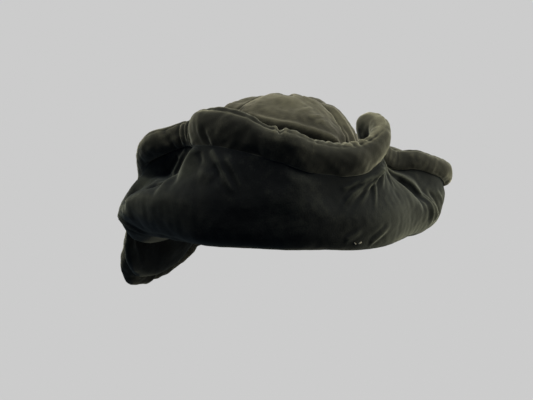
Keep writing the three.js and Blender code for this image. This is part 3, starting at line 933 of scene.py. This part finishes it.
@dataclass
class Brim:
    """The wide brim: a padded velvet wall from the head opening out and up to the edge roll.

    A pair of numbers for a stretch says where it starts and ends, in mm along a rib.
    """

    wall: float = 3.0
    opening_half_width: float = 79.0
    opening_half_length: float = 93.0
    foot_height: float = 1.3
    root_depth: float = -7.0
    belly_towards_waist: float = 0.35
    rows: int = 540
    # Where rows lie closer, because folds gather: azimuth, spread (degrees) and share of the crowding.
    crowded: tuple[tuple[float, float, float], ...] = ((58.0, 38.0, 1.0), (-52.0, 40.0, 0.7))
    crowding: float = 1.5
    columns_under: int = 14
    columns_up: int = 76
    under_share: float = 0.3
    tuck: float = 1.6  # how far the brim's edge reaches into the roll's channel
    faces_roll_from: float = 0.93  # share of a rib
    line_reach: float = 2.5
    unfolded: float = -16.0  # up to here, past the lowest fold, no fold is laid
    folds_set_in: tuple[float, float] = (-22.0, 4.0)  # past the lowest fold
    folds_end: tuple[float, float] = (0.5, 7.0)  # before the seam with the roll
    waves: tuple[tuple[float, float, int], ...] = ((1.4, 62.0, 3), (0.3, 24.0, 4), (0.12, 9.0, 5))
    slack_under: float = 0.35  # share of the slack under the lowest fold
    slack_grows: tuple[float, float] = (-20.0, 10.0)  # past the lowest fold
    slack_sets_in: tuple[float, float] = (8.0, 30.0)  # from the head opening
    slack_ends: tuple[float, float] = (0.0, 14.0)  # before the seam with the roll

    def build(self, material: Material) -> Piece:
        """Builds the brim.

        The middle surface is a rib curve for each section number. Its outer face lies half a wall out
        along the normal plus the relief of folds and slack, and near the roll the normals turn to the
        roll's.

        Args:
            material: the velvet.

        Returns:
            The brim's object.
        """
        t = self._row_places()
        under = np.linspace(0.0, self.under_share, self.columns_under, endpoint=False)
        shares = np.concatenate([under, np.linspace(self.under_share, 1.0, self.columns_up)])
        stations = rib_stations(t)
        roll = roll_frame(t)
        stations[:, 5] = roll.centre - roll.across * (roll.half - self.tuck)[:, None]
        middle = curve_through(stations, shares)
        to_roll = smoothstep(shares, self.faces_roll_from, 1.0)[None, :, None]
        normals = unit(grid_normals(middle, True) * (1.0 - to_roll) + roll.out[:, None, :] * to_roll)
        relief = self._relief(middle, normals, stations, shares)
        levels = (self.wall / 2, -self.wall / 2)
        return add_wall("brim_cloth", middle, normals, relief, levels, True, material)

    def _row_places(self) -> Array:
        """Section numbers of the rows: evenly spaced along the belly, but closer where folds gather.

        Returns:
            Section numbers, shape (rows,).
        """
        fine = np.linspace(0.0, len(SECTIONS), 64 * len(SECTIONS) + 1)
        belly = rib_stations(fine)[:, 3]
        azimuth = azimuths(belly)
        crowd = sum(share * bell((azimuth - middle) / spread, 4.0) for middle, spread, share in self.crowded)
        length = np.linalg.norm(belly[1:] - belly[:-1], axis=1)
        step = length * (1.0 + self.crowding * (crowd[1:] + crowd[:-1]) / 2)
        gone = np.concatenate([[0.0], np.cumsum(step)])
        return np.interp(np.arange(self.rows) / self.rows * gone[-1], gone, fine)

    def _relief(self, middle: Array, normals: Array, stations: Array, shares: Array) -> Array:
        """Folds, slack and unevenness of the wadding, held to nothing at the opening and at the roll.

        Args:
            middle: points of the middle surface in mm, shape (rows, columns, 3).
            normals: their unit normals.
            stations: stations of the rows' ribs, shape (rows, 6, 3).
            shares: shares of a rib's length, shape (columns,).

        Returns:
            Relief in mm, shape (rows, columns).
        """
        reach = np.cumsum(np.linalg.norm(stations[:, 1:] - stations[:, :-1], axis=2), axis=1)
        travelled = shares[None, :] * reach[:, -1:]
        past_fold = travelled - reach[:, 1:2]
        to_seam = reach[:, -1:] - travelled
        usable = past_fold > self.unfolded
        points, facing = middle[usable], normals[usable]
        azimuth = azimuths(points)
        relief = np.zeros(middle.shape[:2])
        for fold in BRIM_FOLDS:
            path = through(fold.path)
            centre = path[:, 0].mean()
            keys = on_cylinder(wrapped(azimuth - centre) + centre, points[:, 2])
            line = lay_line(on_cylinder(*path.T), keys, points, self.line_reach)
            relief[usable] += fold_relief(fold, line, points, facing)
        relief *= smoothstep(past_fold, *self.folds_set_in) * smoothstep(to_seam, *self.folds_end)
        loose = self.slack_under + (1.0 - self.slack_under) * smoothstep(past_fold, *self.slack_grows)
        loose *= smoothstep(travelled, *self.slack_sets_in) * smoothstep(to_seam, *self.slack_ends)
        return relief + slack(middle, self.waves) * loose


# ---- the edge roll

# A gather's pinch: the share of its reach at full depth, and the low rise on each side, with its height
# as a share of the depth and its place and spread in widths.
FULL_SHARE = 0.35
RISE_HEIGHT, RISE_PLACE, RISE_SPREAD = 0.45, 2.0, 0.9


@dataclass(frozen=True)
class Gather:
    """A crease across the roll, where it is pulled in.

    Azimuth is of the roll's middle in degrees, angle and reach say where round the roll it lies and how
    far it runs, in degrees from the roll's outer edge over its face, and width and depth are in mm.
    """

    azimuth: float
    angle: float
    reach: float
    width: float
    depth: float
    slant: float = 0.0

    def relief(self, gap: Array, turned: Array) -> Array:
        """The depth times a bell of the gap along the roll, inwards, with a low one outwards on each side.

        Args:
            gap: how far along the roll each ring lies from the gather, in mm, shape (rows,).
            turned: degrees round the roll from it, shape (sides,).

        Returns:
            Relief in mm, shape (rows, sides).
        """
        q = (gap[:, None] - self.slant * np.sin(np.radians(turned))) / self.width
        across = 1.0 - smoothstep(np.abs(turned), FULL_SHARE * self.reach, self.reach)
        rise = RISE_HEIGHT * bell((np.abs(q) - RISE_PLACE) / RISE_SPREAD)
        return self.depth * (rise - bell(q)) * across


GATHERS: tuple[Gather, ...] = (
    Gather(-72, 90, 80, 3.2, 1.2, 3),
    Gather(-66, 95, 80, 3.0, 1.6, -2),
    Gather(-60, 90, 80, 2.8, 1.6, 2),
    Gather(-55, 90, 80, 2.6, 1.6, -2),
    Gather(-50, 95, 80, 2.4, 1.6, 2),
    Gather(-46, 95, 80, 2.4, 1.4, 3),
    Gather(-30, 130, 60, 3.0, 1.4, 4),
    Gather(-14, 100, 40, 3.0, 0.8, -6),
    Gather(-7, 120, 60, 3.0, 1.0, 5),
    Gather(-1.5, 20, 55, 2.2, 3.6, 2),
    Gather(6, 5, 50, 2.4, 0.7, -2),
    Gather(12, 10, 45, 1.8, 0.5, 3),
    Gather(17, 5, 40, 1.8, 0.9, -2),
    Gather(21, 0, 40, 2.2, 0.5, 2),
    Gather(25, 10, 45, 1.8, 0.9, -3),
    Gather(29, 5, 50, 2.0, 0.8, 2),
    Gather(33.5, 0, 60, 2.4, 1.5, -2),
    Gather(38, -5, 60, 2.2, 1.2, 2),
    Gather(61, 90, 60, 2.0, 0.8, 2),
    Gather(67, 90, 80, 2.0, 1.2, -2),
    Gather(71, 95, 70, 1.8, 0.6, 3),
    Gather(75, 90, 70, 1.8, 0.4, -2),
    Gather(80, 100, 60, 1.8, 0.2, 2),
    Gather(165, 90, 80, 3.0, 1.6, 2),
    Gather(172, 90, 90, 3.0, 2.4, -2),
    Gather(179, 90, 90, 3.0, 2.6, 2),
    Gather(186, 90, 80, 3.0, 2.0, -2),
    Gather(193, 90, 80, 3.0, 1.6, 2),
    Gather(215, 80, 80, 3.5, 1.6, 4),
    Gather(233, 80, 80, 3.5, 1.6, -4),
)


@dataclass(frozen=True)
class Puff:
    """A rise or dip of the roll's stuffing: a bell, its length in mm along it and its spread in degrees."""

    azimuth: float
    angle: float
    length: float
    spread: float
    height: float

    def relief(self, gap: Array, turned: Array) -> Array:
        """Height times a bell of the gap along the roll and a bell of the turn round it."""
        return self.height * bell(gap / self.length)[:, None] * bell(turned / self.spread)


PUFFS: tuple[Puff, ...] = (
    Puff(-8, 20, 11, 60, -2.2),
    Puff(6, 20, 13, 60, 2.6),
    Puff(-34, 60, 14, 70, 0.8),
    Puff(-78, 60, 18, 80, 2.0),
    Puff(-96, 60, 18, 80, 1.5),
)


@dataclass
class EdgeRoll:
    """The stuffed roll round the brim's edge: a flattened velvet tube with its seam along the top.

    Angles round the roll are in degrees, from its outer edge over its face. Places along it are azimuths.
    """

    half_thickness: float = 9.5
    frame_step: float = 0.3
    rows_per_section: int = 26
    sides: int = 72
    squareness: float = 2.25
    channel_depth: float = 3.6
    channel_half: float = 0.22  # radians; half the width of the channel
    # The face slims towards the brim: how much, least where, and at which angles.
    slim_share: float = 0.7
    slim_least: float = 0.35
    slim_front: tuple[float, float] = (40.0, 56.0)
    slim_drop: tuple[float, float] = (-129.0, 36.0)  # its middle and its spread
    slim_angles: tuple[float, float] = (40.0, 168.0)
    # The outer edge of the front leans in: how far, its middle, and where that dies away beside it.
    lean: float = 5.0
    lean_middle: float = -4.0
    lean_ends: tuple[float, float] = (30.0, 48.0)
    waves: tuple[tuple[float, float, int], ...] = ((0.9, 48.0, 11), (0.5, 20.0, 12), (0.2, 8.0, 13))
    smooth_half: float = 26.0  # half the strip by the channel that has no relief
    crest_gain: float = 2.2
    # The rim of the right ear, made paler as rubbed pile and as painted light where it is lit: its middle and
    # spread along and round the roll.
    rim_wear_and_light_azimuth: float = 44.0
    rim_wear_and_light_length: float = 20.0
    rim_wear_and_light_angle: float = -20.0
    rim_wear_and_light_spread: float = 62.0
    rim_wear_and_light_paler: float = 0.9
    # The closing seam: its line, its lip and groove (mm deep, degrees wide), and where it shows most.
    seam_angle: float = 34.0
    lip_height: float = 0.8
    lip_angle: float = -16.0  # from the seam's line
    lip_spread: float = 9.0
    groove_depth: float = 1.3
    groove_spread: float = 6.0
    seam_least: float = 0.45
    seam_clear: tuple[float, float] = (-20.0, 22.0)
    pucker: float = 0.35

    def build(self, material: Material) -> Piece:
        """Builds the roll.

        Round the tube, a point lies at (half width sgn(cos) |cos|^p, half thickness sgn(sin) |sin|^p)
        with p = 2 / squareness, across and out from the roll's middle. A channel takes the brim's edge
        at 180 degrees. The closing seam's groove and lip, the gathers and the uneven stuffing then
        move it along its normal.

        Args:
            material: the velvet.

        Returns:
            The roll's object.
        """
        rows = len(SECTIONS) * self.rows_per_section
        roll = roll_frame(np.arange(rows) / self.rows_per_section)
        angle = np.linspace(0.0, 2 * math.pi, self.sides, endpoint=False)
        power = 2.0 / self.squareness
        cosine, sine = np.cos(angle), np.sin(angle)
        channel = self.channel_depth * bell((angle - math.pi) / self.channel_half, 4.0)
        wide = roll.half[:, None] * np.sign(cosine) * np.abs(cosine) ** power + channel
        azimuth = azimuths(roll.centre)
        face = np.where(sine > 0, smoothstep(np.degrees(angle), *self.slim_angles), 0.0)
        slim = self.slim_share * self._slimness(azimuth)[:, None] * face
        thick = self.half_thickness * np.sign(sine) * np.abs(sine) ** power * (1.0 - slim)
        leaning = self.lean * (1.0 - smoothstep(np.abs(azimuth - self.lean_middle), *self.lean_ends))
        thick -= leaning[:, None] * np.maximum(cosine, 0.0) ** 2
        across, out = roll.across[:, None, :], roll.out[:, None, :]
        shape = roll.centre[:, None, :] + across * wide[..., None] + out * thick[..., None]
        nx, ny = cosine / roll.half[:, None], sine / self.half_thickness
        size = np.hypot(nx, ny)
        normals = across * (nx / size)[..., None] + out * (ny / size)[..., None]
        points = shape + normals * self._relief(roll, shape, np.degrees(angle))[..., None]
        quads = tube_quads(rows, self.sides, True)
        piece = add_piece("edge_roll_cloth", points.reshape(-1, 3), quads, material)
        crest = np.clip(self._sharpness(points, normals) * self.crest_gain, *CREST_LIMITS)
        # Painted light: the lit patches, and on the right ear's rim rubbed pile together with painted light
        # where it is lit.
        crest += self._rim_wear_and_light(azimuth, np.degrees(angle)) + painted_light(points)
        set_crest(piece, crest.ravel())
        return piece

    def _rim_wear_and_light(self, azimuth: Array, angle: Array) -> Array:
        """Where the rim of the right ear is paler, from rubbed pile and from painted light where it is lit,
        as a bell along and round it.

        Args:
            azimuth: of each ring, in degrees.
            angle: of each side, in degrees.

        Returns:
            How much paler the colour is, shape (rows, sides).
        """
        along = bell((azimuth - self.rim_wear_and_light_azimuth) / self.rim_wear_and_light_length, 4.0)
        round_it = bell((wrapped(angle) - self.rim_wear_and_light_angle) / self.rim_wear_and_light_spread, 4.0)
        return self.rim_wear_and_light_paler * along[:, None] * round_it

    def _slimness(self, azimuth: Array) -> Array:
        """Where the roll's face runs flat into the brim: 1 at the front and in the drop, least elsewhere.

        Args:
            azimuth: of each ring, in degrees.

        Returns:
            A share for each ring.
        """
        middle, spread = self.slim_drop
        front = 1.0 - smoothstep(np.abs(azimuth), *self.slim_front)
        flat = np.maximum(front, bell((azimuth - middle) / spread, 6.0))
        return self.slim_least + (1.0 - self.slim_least) * flat

    def _sharpness(self, points: Array, normals: Array) -> Array:
        """How sharply the roll's cloth bends at small folds: its bend less the plain tube's."""
        value = bend(points, normals, True, True)
        return soften(value - np.median(value, axis=0, keepdims=True), True)

    def _relief(self, roll: RollFrame, shape: Array, angle: Array) -> Array:
        """Seam, gathers and uneven stuffing, in mm for each point of the roll.

        Args:
            roll: the roll's frame.
            shape: points of the plain tube in mm, shape (rows, sides, 3).
            angle: of each side, in degrees.

        Returns:
            Relief in mm, shape (rows, sides).
        """
        steps = np.linalg.norm(np.roll(roll.centre, -1, axis=0) - roll.centre, axis=1)
        along = np.concatenate([[0.0], np.cumsum(steps)[:-1]])
        whole = steps.sum()
        azimuth = np.unwrap(azimuths(roll.centre), period=360.0)
        turned = wrapped(angle)
        relief = slack(shape, self.waves)
        for mark in (*GATHERS, *PUFFS):
            there = azimuth[0] + (mark.azimuth - azimuth[0]) % 360.0
            gap = along - along[np.abs(azimuth - there).argmin()]
            gap = (gap + whole / 2) % whole - whole / 2
            relief += mark.relief(gap, wrapped(turned - mark.angle))
        relief += self._closing_seam(azimuth, turned, along)
        return relief * (1.0 - bell((np.abs(turned) - 180.0) / self.smooth_half, 4.0))

    def _closing_seam(self, azimuth: Array, angle: Array, along: Array) -> Array:
        """The seam that closes the tube: a groove where the stitches draw it in, and a lip beside it.

        Each is a bell of the angle from the seam's line, and the lip lies on the side of the roll's
        outer edge. The line wanders by a few degrees along the roll, and both pucker along it.

        Args:
            azimuth: of each ring, in degrees.
            angle: of each side, in degrees from -180 to 180.
            along: how far along the roll each ring lies, in mm.

        Returns:
            Relief in mm, shape (rows, sides).
        """
        line = self.seam_angle + 5.0 * np.sin(along / 23.0) + 3.0 * np.sin(along / 9.0 + 1.0)
        turned = angle - line[:, None]
        middle, spread = self.seam_clear
        shown = self.seam_least + (1.0 - self.seam_least) * bell(wrapped(azimuth - middle) / spread, 4.0)
        pucker = 1.0 + self.pucker * np.sin(along / 1.9) * np.sin(along / 7.3)
        lip = self.lip_height * bell((turned - self.lip_angle) / self.lip_spread)
        groove = self.groove_depth * bell(turned / self.groove_spread)
        return (lip - groove) * (shown * pucker)[:, None]


# ---- the crown


class Gore(NamedTuple):
    """A gore's name, its two seams' azimuths in degrees, and its flat width, length (m) and area (m2)."""

    name: str
    start: float
    end: float
    flat_width: float
    flat_length: float
    flat_area: float


@dataclass
class Crown:
    """The puffed crown: four velvet gores that meet at a tip behind the middle."""

    wall: float = 3.0
    half_width: float = 84.0
    half_length: float = 98.0
    foot_height: float = 2.0
    tip_x: float = 8.0
    tip_y: float = 52.0
    tip_pull: float = 1.1
    fall: float = 0.19  # how much lower the back is, and from where on
    fall_start: float = -12.0
    top_share: float = 0.998
    gore_spread: float = 16.0  # degrees; how far the seams bow
    seam_gap: float = 0.05
    seam_gap_most: float = 0.02  # of a gore's width
    seam_sink: float = 2.0
    seam_angle: float = 13.0
    seam_start: float = 0.2
    line_reach: float = 3.0
    folds_fade: float = 3.0  # mm from a seam
    pucker: float = 0.45
    pucker_length: float = 1.5
    pucker_fade: float = 7.0
    tuck: float = 1.6
    tuck_width: float = 2.2
    waves: tuple[tuple[float, float, int], ...] = ((1.1, 55.0, 21), (0.5, 21.0, 22), (0.2, 8.0, 23))
    loose_from: float = 0.12  # shares of a gore's length between which the cloth is free
    loose_to: tuple[float, float] = (0.86, 0.97)
    rows: int = 110
    columns: int = 84
    gores: tuple[Gore, ...] = (
        Gore("front", -44, 53, 0.17, 0.17, 0.0210),
        Gore("right", 53, 140, 0.13, 0.16, 0.0150),
        Gore("back", 140, 228, 0.14, 0.13, 0.0115),
        Gore("left", 228, 316, 0.13, 0.16, 0.0165),
    )
    profile: tuple[tuple[float, float], ...] = (
        (0.96, 2),
        (0.99, 26),
        (1.0, 48),
        (0.94, 68),
        (0.8, 87),
        (0.6, 103),
        (0.38, 112),
        (0.16, 113),
        (0.0, 111),
    )

    def build(self, material: Material) -> dict[str, Piece]:
        """Builds the four gores.

        Args:
            material: the velvet.

        Returns:
            The gores' objects by name.
        """
        shares = np.linspace(0.0, self.top_share, self.columns)
        starts = self._surface(np.array([gore.start for gore in self.gores], float), shares)
        ends = self._surface(np.array([gore.end for gore in self.gores], float), shares)
        width = np.linalg.norm(ends - starts, axis=2)
        step = np.linspace(0.0, 1.0, self.rows)[:, None]
        made = {}
        for k, gore in enumerate(self.gores):
            turn = gore.end - gore.start
            margin = np.minimum(np.degrees(self.seam_gap / width[k]), self.seam_gap_most * turn)
            azimuth = gore.start + margin + step * (turn - 2 * margin)
            made[gore.name] = self._gore(gore, azimuth, shares, material)
        return made

    def _surface(self, azimuth: Array, shares: Array) -> Array:
        """The crown's plain face: the profile turned about its tip and drawn in along the seams.

        A point is the tip's offset times (1 - radius / foot radius)^pull, plus the profile's radius in
        the direction of the azimuth, lengthened front to back, all times 1 - sink / half width. The
        azimuth is first turned by spread * sin(azimuth) * sin(pi share^2), which bows the seams. The
        height is then cut by a share that grows smoothly towards the back.

        Args:
            azimuth: degrees, shape (rows,) or (rows, columns).
            shares: shares of the profile's length, shape (columns,).

        Returns:
            Points in mm, shape (rows, columns, 3).
        """
        line = np.array([[(share * self.half_width, 0.0, height) for share, height in self.profile]])
        profile = curve_through(line, shares)[0]
        if azimuth.ndim == 1:
            azimuth = np.repeat(azimuth[:, None], len(shares), axis=1)
        bow = self.gore_spread * np.sin(np.radians(azimuth)) * np.sin(np.pi * shares**2)
        angle = np.radians(azimuth + bow)
        away = np.min([np.abs(wrapped(azimuth - gore.start)) for gore in self.gores], axis=0)
        sink = self.seam_sink * smoothstep(shares, 0.0, self.seam_start) * bell(away / self.seam_angle)
        swell = 1.0 - sink / self.half_width
        foot_radius = self.profile[0][0] * self.half_width
        near_tip = np.maximum(0.0, 1.0 - profile[:, 0] / foot_radius) ** self.tip_pull
        x = self.tip_x * near_tip + np.sin(angle) * profile[:, 0] * swell
        y = self.tip_y * near_tip - np.cos(angle) * profile[:, 0] * swell * self.half_length / self.half_width
        fall = 1.0 - self.fall * smoothstep(y, self.fall_start, self.half_length)
        z = self.foot_height + (profile[:, 2] - self.foot_height) * swell * fall
        return np.stack([x, y, z], axis=-1)

    def _folds(self, shares: Array, points: Array, normals: Array) -> Array:
        """Relief of the crown's folds, whose paths are laid on its plain face as it is seen from above.

        Args:
            shares: shares of the profile's length, shape (columns,).
            points: points of a gore's plain face in mm, shape (n, 3).
            normals: their unit normals.

        Returns:
            Relief in mm, shape (n,).
        """
        round_it = self._surface(np.arange(0.0, 360.0, 2.0), shares).reshape(-1, 3)
        relief = np.zeros(len(points))
        for fold in CROWN_FOLDS:
            marks = polar(*through(fold.path).T, 0.0)[:, :2]
            line = lay_line(marks, round_it[:, :2], round_it, self.line_reach)
            relief += fold_relief(fold, line, points, normals)
        return relief

    def _gore(self, gore: Gore, azimuth: Array, shares: Array, material: Material) -> Piece:
        """One gore as a wall, with its folds, its slack and the puckers along its seams.

        Args:
            gore: its name and seams.
            azimuth: of its points in degrees, shape (rows, columns).
            shares: shares of the profile's length, shape (columns,).
            material: the velvet.

        Returns:
            The gore's object.
        """
        face = self._surface(azimuth, shares)
        normals = grid_normals(face, False)
        folds = self._folds(shares, face.reshape(-1, 3), normals.reshape(-1, 3)).reshape(face.shape[:2])
        edge = np.minimum(*(np.linalg.norm(face - seam, axis=2) for seam in (face[:1], face[-1:])))
        height = face[..., 2]
        pucker = self.pucker * np.sin(height / self.pucker_length + 2.0 * np.sin(height / 11.0))
        seam = pucker * np.exp(-edge / self.pucker_fade) - self.tuck * bell(edge / self.tuck_width)
        free = smoothstep(shares, 0.0, self.loose_from) * (1.0 - smoothstep(shares, *self.loose_to))
        relief = (folds * (1.0 - np.exp(-edge / self.folds_fade)) + slack(face, self.waves) + seam) * free
        return add_wall(
            f"crown_{gore.name}_gore_cloth", face, normals, relief, (0.0, -self.wall), False, material
        )


# ---- loose stitches


@dataclass
class TackStitches:
    """Ends of pale thread that show at the brim's lower fold, right of the front."""

    thickness: float = 1.0
    tip_share: float = 0.35  # of the thickness, at both ends
    bluntness: float = 0.4
    arch: float = 1.1
    sunk: float = 0.4  # how far both ends dip into the cloth
    tilt: float = 40.0  # outward is away from the axis, and this many mm down over that distance
    sides: int = 8
    steps: int = 14
    line_reach: float = 1.5
    # Azimuth and height of both ends of each stitch.
    stitches: tuple[tuple[float, float, float, float], ...] = (
        (28.3, -6.6, 29.1, -8.2),
        (29.9, -8.1, 31.3, -6.5),
    )
    # The outer part of the brim's front, clear of the cloth under it: largest y and z, least radius.
    cloth_limits: tuple[float, float, float] = (-60.0, 30.0, 130.0)

    def build(self, brim: Piece, material: Material) -> Piece:
        """Builds the stitches as small arched tubes that dip into the cloth at both ends.

        Args:
            brim: the brim, whose mesh has the outer face's points first.
            material: the thread.

        Returns:
            The stitches' object.
        """
        cloth = self._cloth(brim)
        keys = on_cylinder(azimuths(cloth), cloth[:, 2])
        angle = np.linspace(0.0, 2 * math.pi, self.sides, endpoint=False)[None, :, None]
        u = np.linspace(0.0, 1.0, self.steps)
        blunt = np.sin(math.pi * np.clip(u, 0.04, 0.96)) ** self.bluntness
        radius = self.thickness / 2 * (self.tip_share + (1.0 - self.tip_share) * blunt)
        points, quads = [], []
        for k, (az_0, z_0, az_1, z_1) in enumerate(self.stitches):
            marks = on_cylinder(az_0 + (az_1 - az_0) * u, z_0 + (z_1 - z_0) * u)
            line = lay_line(marks, keys, cloth, self.line_reach)
            outward = unit(line * (1.0, 1.0, 0.0) - (0.0, 0.0, self.tilt))
            line += outward * (self.arch * np.sin(math.pi * u) - self.sunk)[:, None]
            along = unit(np.gradient(line, axis=0))
            beside_it = unit(np.cross(along, outward))
            over = np.cross(beside_it, along)
            ring = np.cos(angle) * beside_it[:, None, :] + np.sin(angle) * over[:, None, :]
            points.append((line[:, None, :] + radius[:, None, None] * ring).reshape(-1, 3))
            quads.append(tube_quads(self.steps, self.sides, False) + k * self.steps * self.sides)
        return add_piece("tack_stitches", np.concatenate(points), np.concatenate(quads), material)

    def _cloth(self, brim: Piece) -> Array:
        """Points in mm of the part of the brim's outer face that the stitches lie on.

        Args:
            brim: the brim, whose mesh has the outer face's points first.

        Returns:
            Points, shape (n, 3).
        """
        points = np.empty(3 * len(brim.data.vertices))
        brim.data.vertices.foreach_get("co", points)
        outer = points.reshape(2, -1, 3)[0] / MM
        y, z, radius = self.cloth_limits
        return outer[(outer[:, 1] < y) & (outer[:, 2] < z) & (np.hypot(outer[:, 0], outer[:, 1]) > radius)]


# ---- studio


class Light(NamedTuple):
    """A rectangular soft light that looks at the hat: its place and size in metres and its power in watts."""

    name: str
    place: tuple[float, float, float]
    size: tuple[float, float]
    power: float
    colour: str


@dataclass
class Studio:
    """A pale paper sweep, large lights above and to the right, weak ones on the other sides, and a camera."""

    floor_height: float = -0.34
    sweep_half_width: float = 4.0
    sweep_front: float = -3.0
    sweep_back: float = 2.2
    sweep_radius: float = 1.2
    sweep_top: float = 3.6
    camera_place: tuple[float, float, float] = (-0.0115, -1.12362, 0.24497)
    camera_target: tuple[float, float, float] = (-0.0115, 0.00125, 0.00587)
    lens: float = 77.7
    world: tuple[str, float] = ("#b9c6d8", 0.11)
    lights: tuple[Light, ...] = (
        Light("key", (1.7, 0.05, 1.35), (1.0, 1.0), 60.0, "#fcf6de"),
        Light("top", (0.0, -0.2, 2.1), (1.4, 1.2), 60.0, "#fcf8e8"),
        Light("right", (2.0, -0.5, 0.8), (0.9, 0.9), 20.0, "#f4f3e2"),
        Light("low", (1.1, 0.1, -0.26), (0.4, 0.1), 2.8, "#f2ead6"),
        Light("left", (-0.9, -0.2, 1.9), (1.0, 1.0), 15.0, "#f1f2ec"),
        Light("front", (-0.5, -2.0, 1.2), (1.6, 1.0), 5.0, "#a4c2f0"),
        Light("back", (0.3, 2.0, 0.9), (1.2, 0.8), 12.0, "#f4f4f4"),
    )

    def build(self) -> None:
        """Builds the sweep, the world, the lights and the camera."""
        self._sweep()
        self._world()
        for light in self.lights:
            self._light(light)
        self._camera()
        bpy.context.scene.view_settings.view_transform = "Standard"

    def _sweep(self) -> None:
        """The floor: flat, then a quarter circle up into a wall, carried across."""
        turn = np.linspace(0.0, math.pi / 2, 25)
        curve = self.sweep_back + self.sweep_radius * np.sin(turn)
        along = np.concatenate([[self.sweep_front], curve, [self.sweep_back + self.sweep_radius]])
        height = np.concatenate([[0.0], self.sweep_radius * (1.0 - np.cos(turn)), [self.sweep_top]])
        x, y = np.meshgrid((-self.sweep_half_width, self.sweep_half_width), along, indexing="ij")
        z = np.broadcast_to(height + self.floor_height, x.shape)
        points = np.stack([x, y, z], axis=-1).reshape(-1, 3) / MM
        line = np.arange(len(along) - 1)
        other = line + len(along)
        quads = np.stack([line, other, other + 1, line + 1], axis=1)
        floor = add_piece("paper_sweep", points, quads, Paper().make())
        # The glow lights nothing but the view of the paper itself.
        floor.visible_diffuse = False
        floor.visible_glossy = False

    def _world(self) -> None:
        """Even dim light from all round."""
        world = bpy.data.worlds.new("studio")
        world.use_nodes = True
        colour, strength = self.world
        background = world.node_tree.nodes["Background"]
        background.inputs["Color"].default_value = linear(colour)
        background.inputs["Strength"].default_value = strength
        bpy.context.scene.world = world

    def _light(self, light: Light) -> None:
        """Adds a light that looks at the hat's middle.

        Args:
            light: its sizes.
        """
        data = bpy.data.lights.new(light.name, "AREA")
        data.shape = "RECTANGLE"
        data.size, data.size_y = light.size
        data.energy = light.power
        data.color = linear(light.colour)[:3]
        self._place(data, light.place, (0.0, 0.0, 0.0))

    def _camera(self) -> None:
        """The camera, in front of the hat and a little above it."""
        data = bpy.data.cameras.new("camera")
        data.lens = self.lens
        data.sensor_width = 36.0
        data.clip_end = 100.0
        bpy.context.scene.camera = self._place(data, self.camera_place, self.camera_target)

    def _place(self, data: bpy.types.ID, place: Sequence[float], target: Sequence[float]) -> bpy.types.Object:
        """Puts a light or a camera in the scene at a place, looking at a target, and gives its object.

        Args:
            data: the light's or camera's data.
            place: in metres.
            target: in metres.

        Returns:
            The new object.
        """
        thing = bpy.data.objects.new(data.name, data)
        thing.location = place
        thing.rotation_euler = (Vector(target) - Vector(place)).to_track_quat("-Z", "Y").to_euler()
        bpy.context.scene.collection.objects.link(thing)
        return thing


# ---- the whole hat


def report(piece: Piece) -> None:
    """Logs a piece's name and its number of faces."""
    log.info("%s: %d faces", piece.name, len(piece.data.polygons))


def main() -> None:
    """Builds the hat piece by piece, dresses it and sets up the studio."""
    logging.basicConfig(level=logging.INFO, format="%(name)s: %(message)s")
    # One black velvet in three copies: the roll's is paler, as painted light on its lit top, and the brim's
    # darker and bluer, as painted shade on its shaded front.
    brim_velvet = Velvet("cotton_velvet_brim", "#0a0d11", "#32342e", "#898c80")
    roll_velvet = Velvet("cotton_velvet_roll", "#171817", "#444339", "#a5a492")
    crown_velvet = Velvet("cotton_velvet_crown", "#151512", "#3d3c32", "#918e80")

    brim = Brim().build(brim_velvet.make())
    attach(brim, "root")
    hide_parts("brim")
    report(brim)

    roll = EdgeRoll().build(roll_velvet.make())
    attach(roll, "root")
    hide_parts("edge_roll")
    report(roll)

    crown = Crown()
    cloths = crown.build(crown_velvet.make())
    for gore in crown.gores:
        cloth = cloths[gore.name]
        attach(cloth, "root")
        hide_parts(f"crown_gore_{gore.name}")
        report(cloth)

    stitches = TackStitches().build(brim, Thread().make())
    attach(stitches, "root")
    report(stitches)

    Studio().build()


if __name__ == "__main__":
    main()
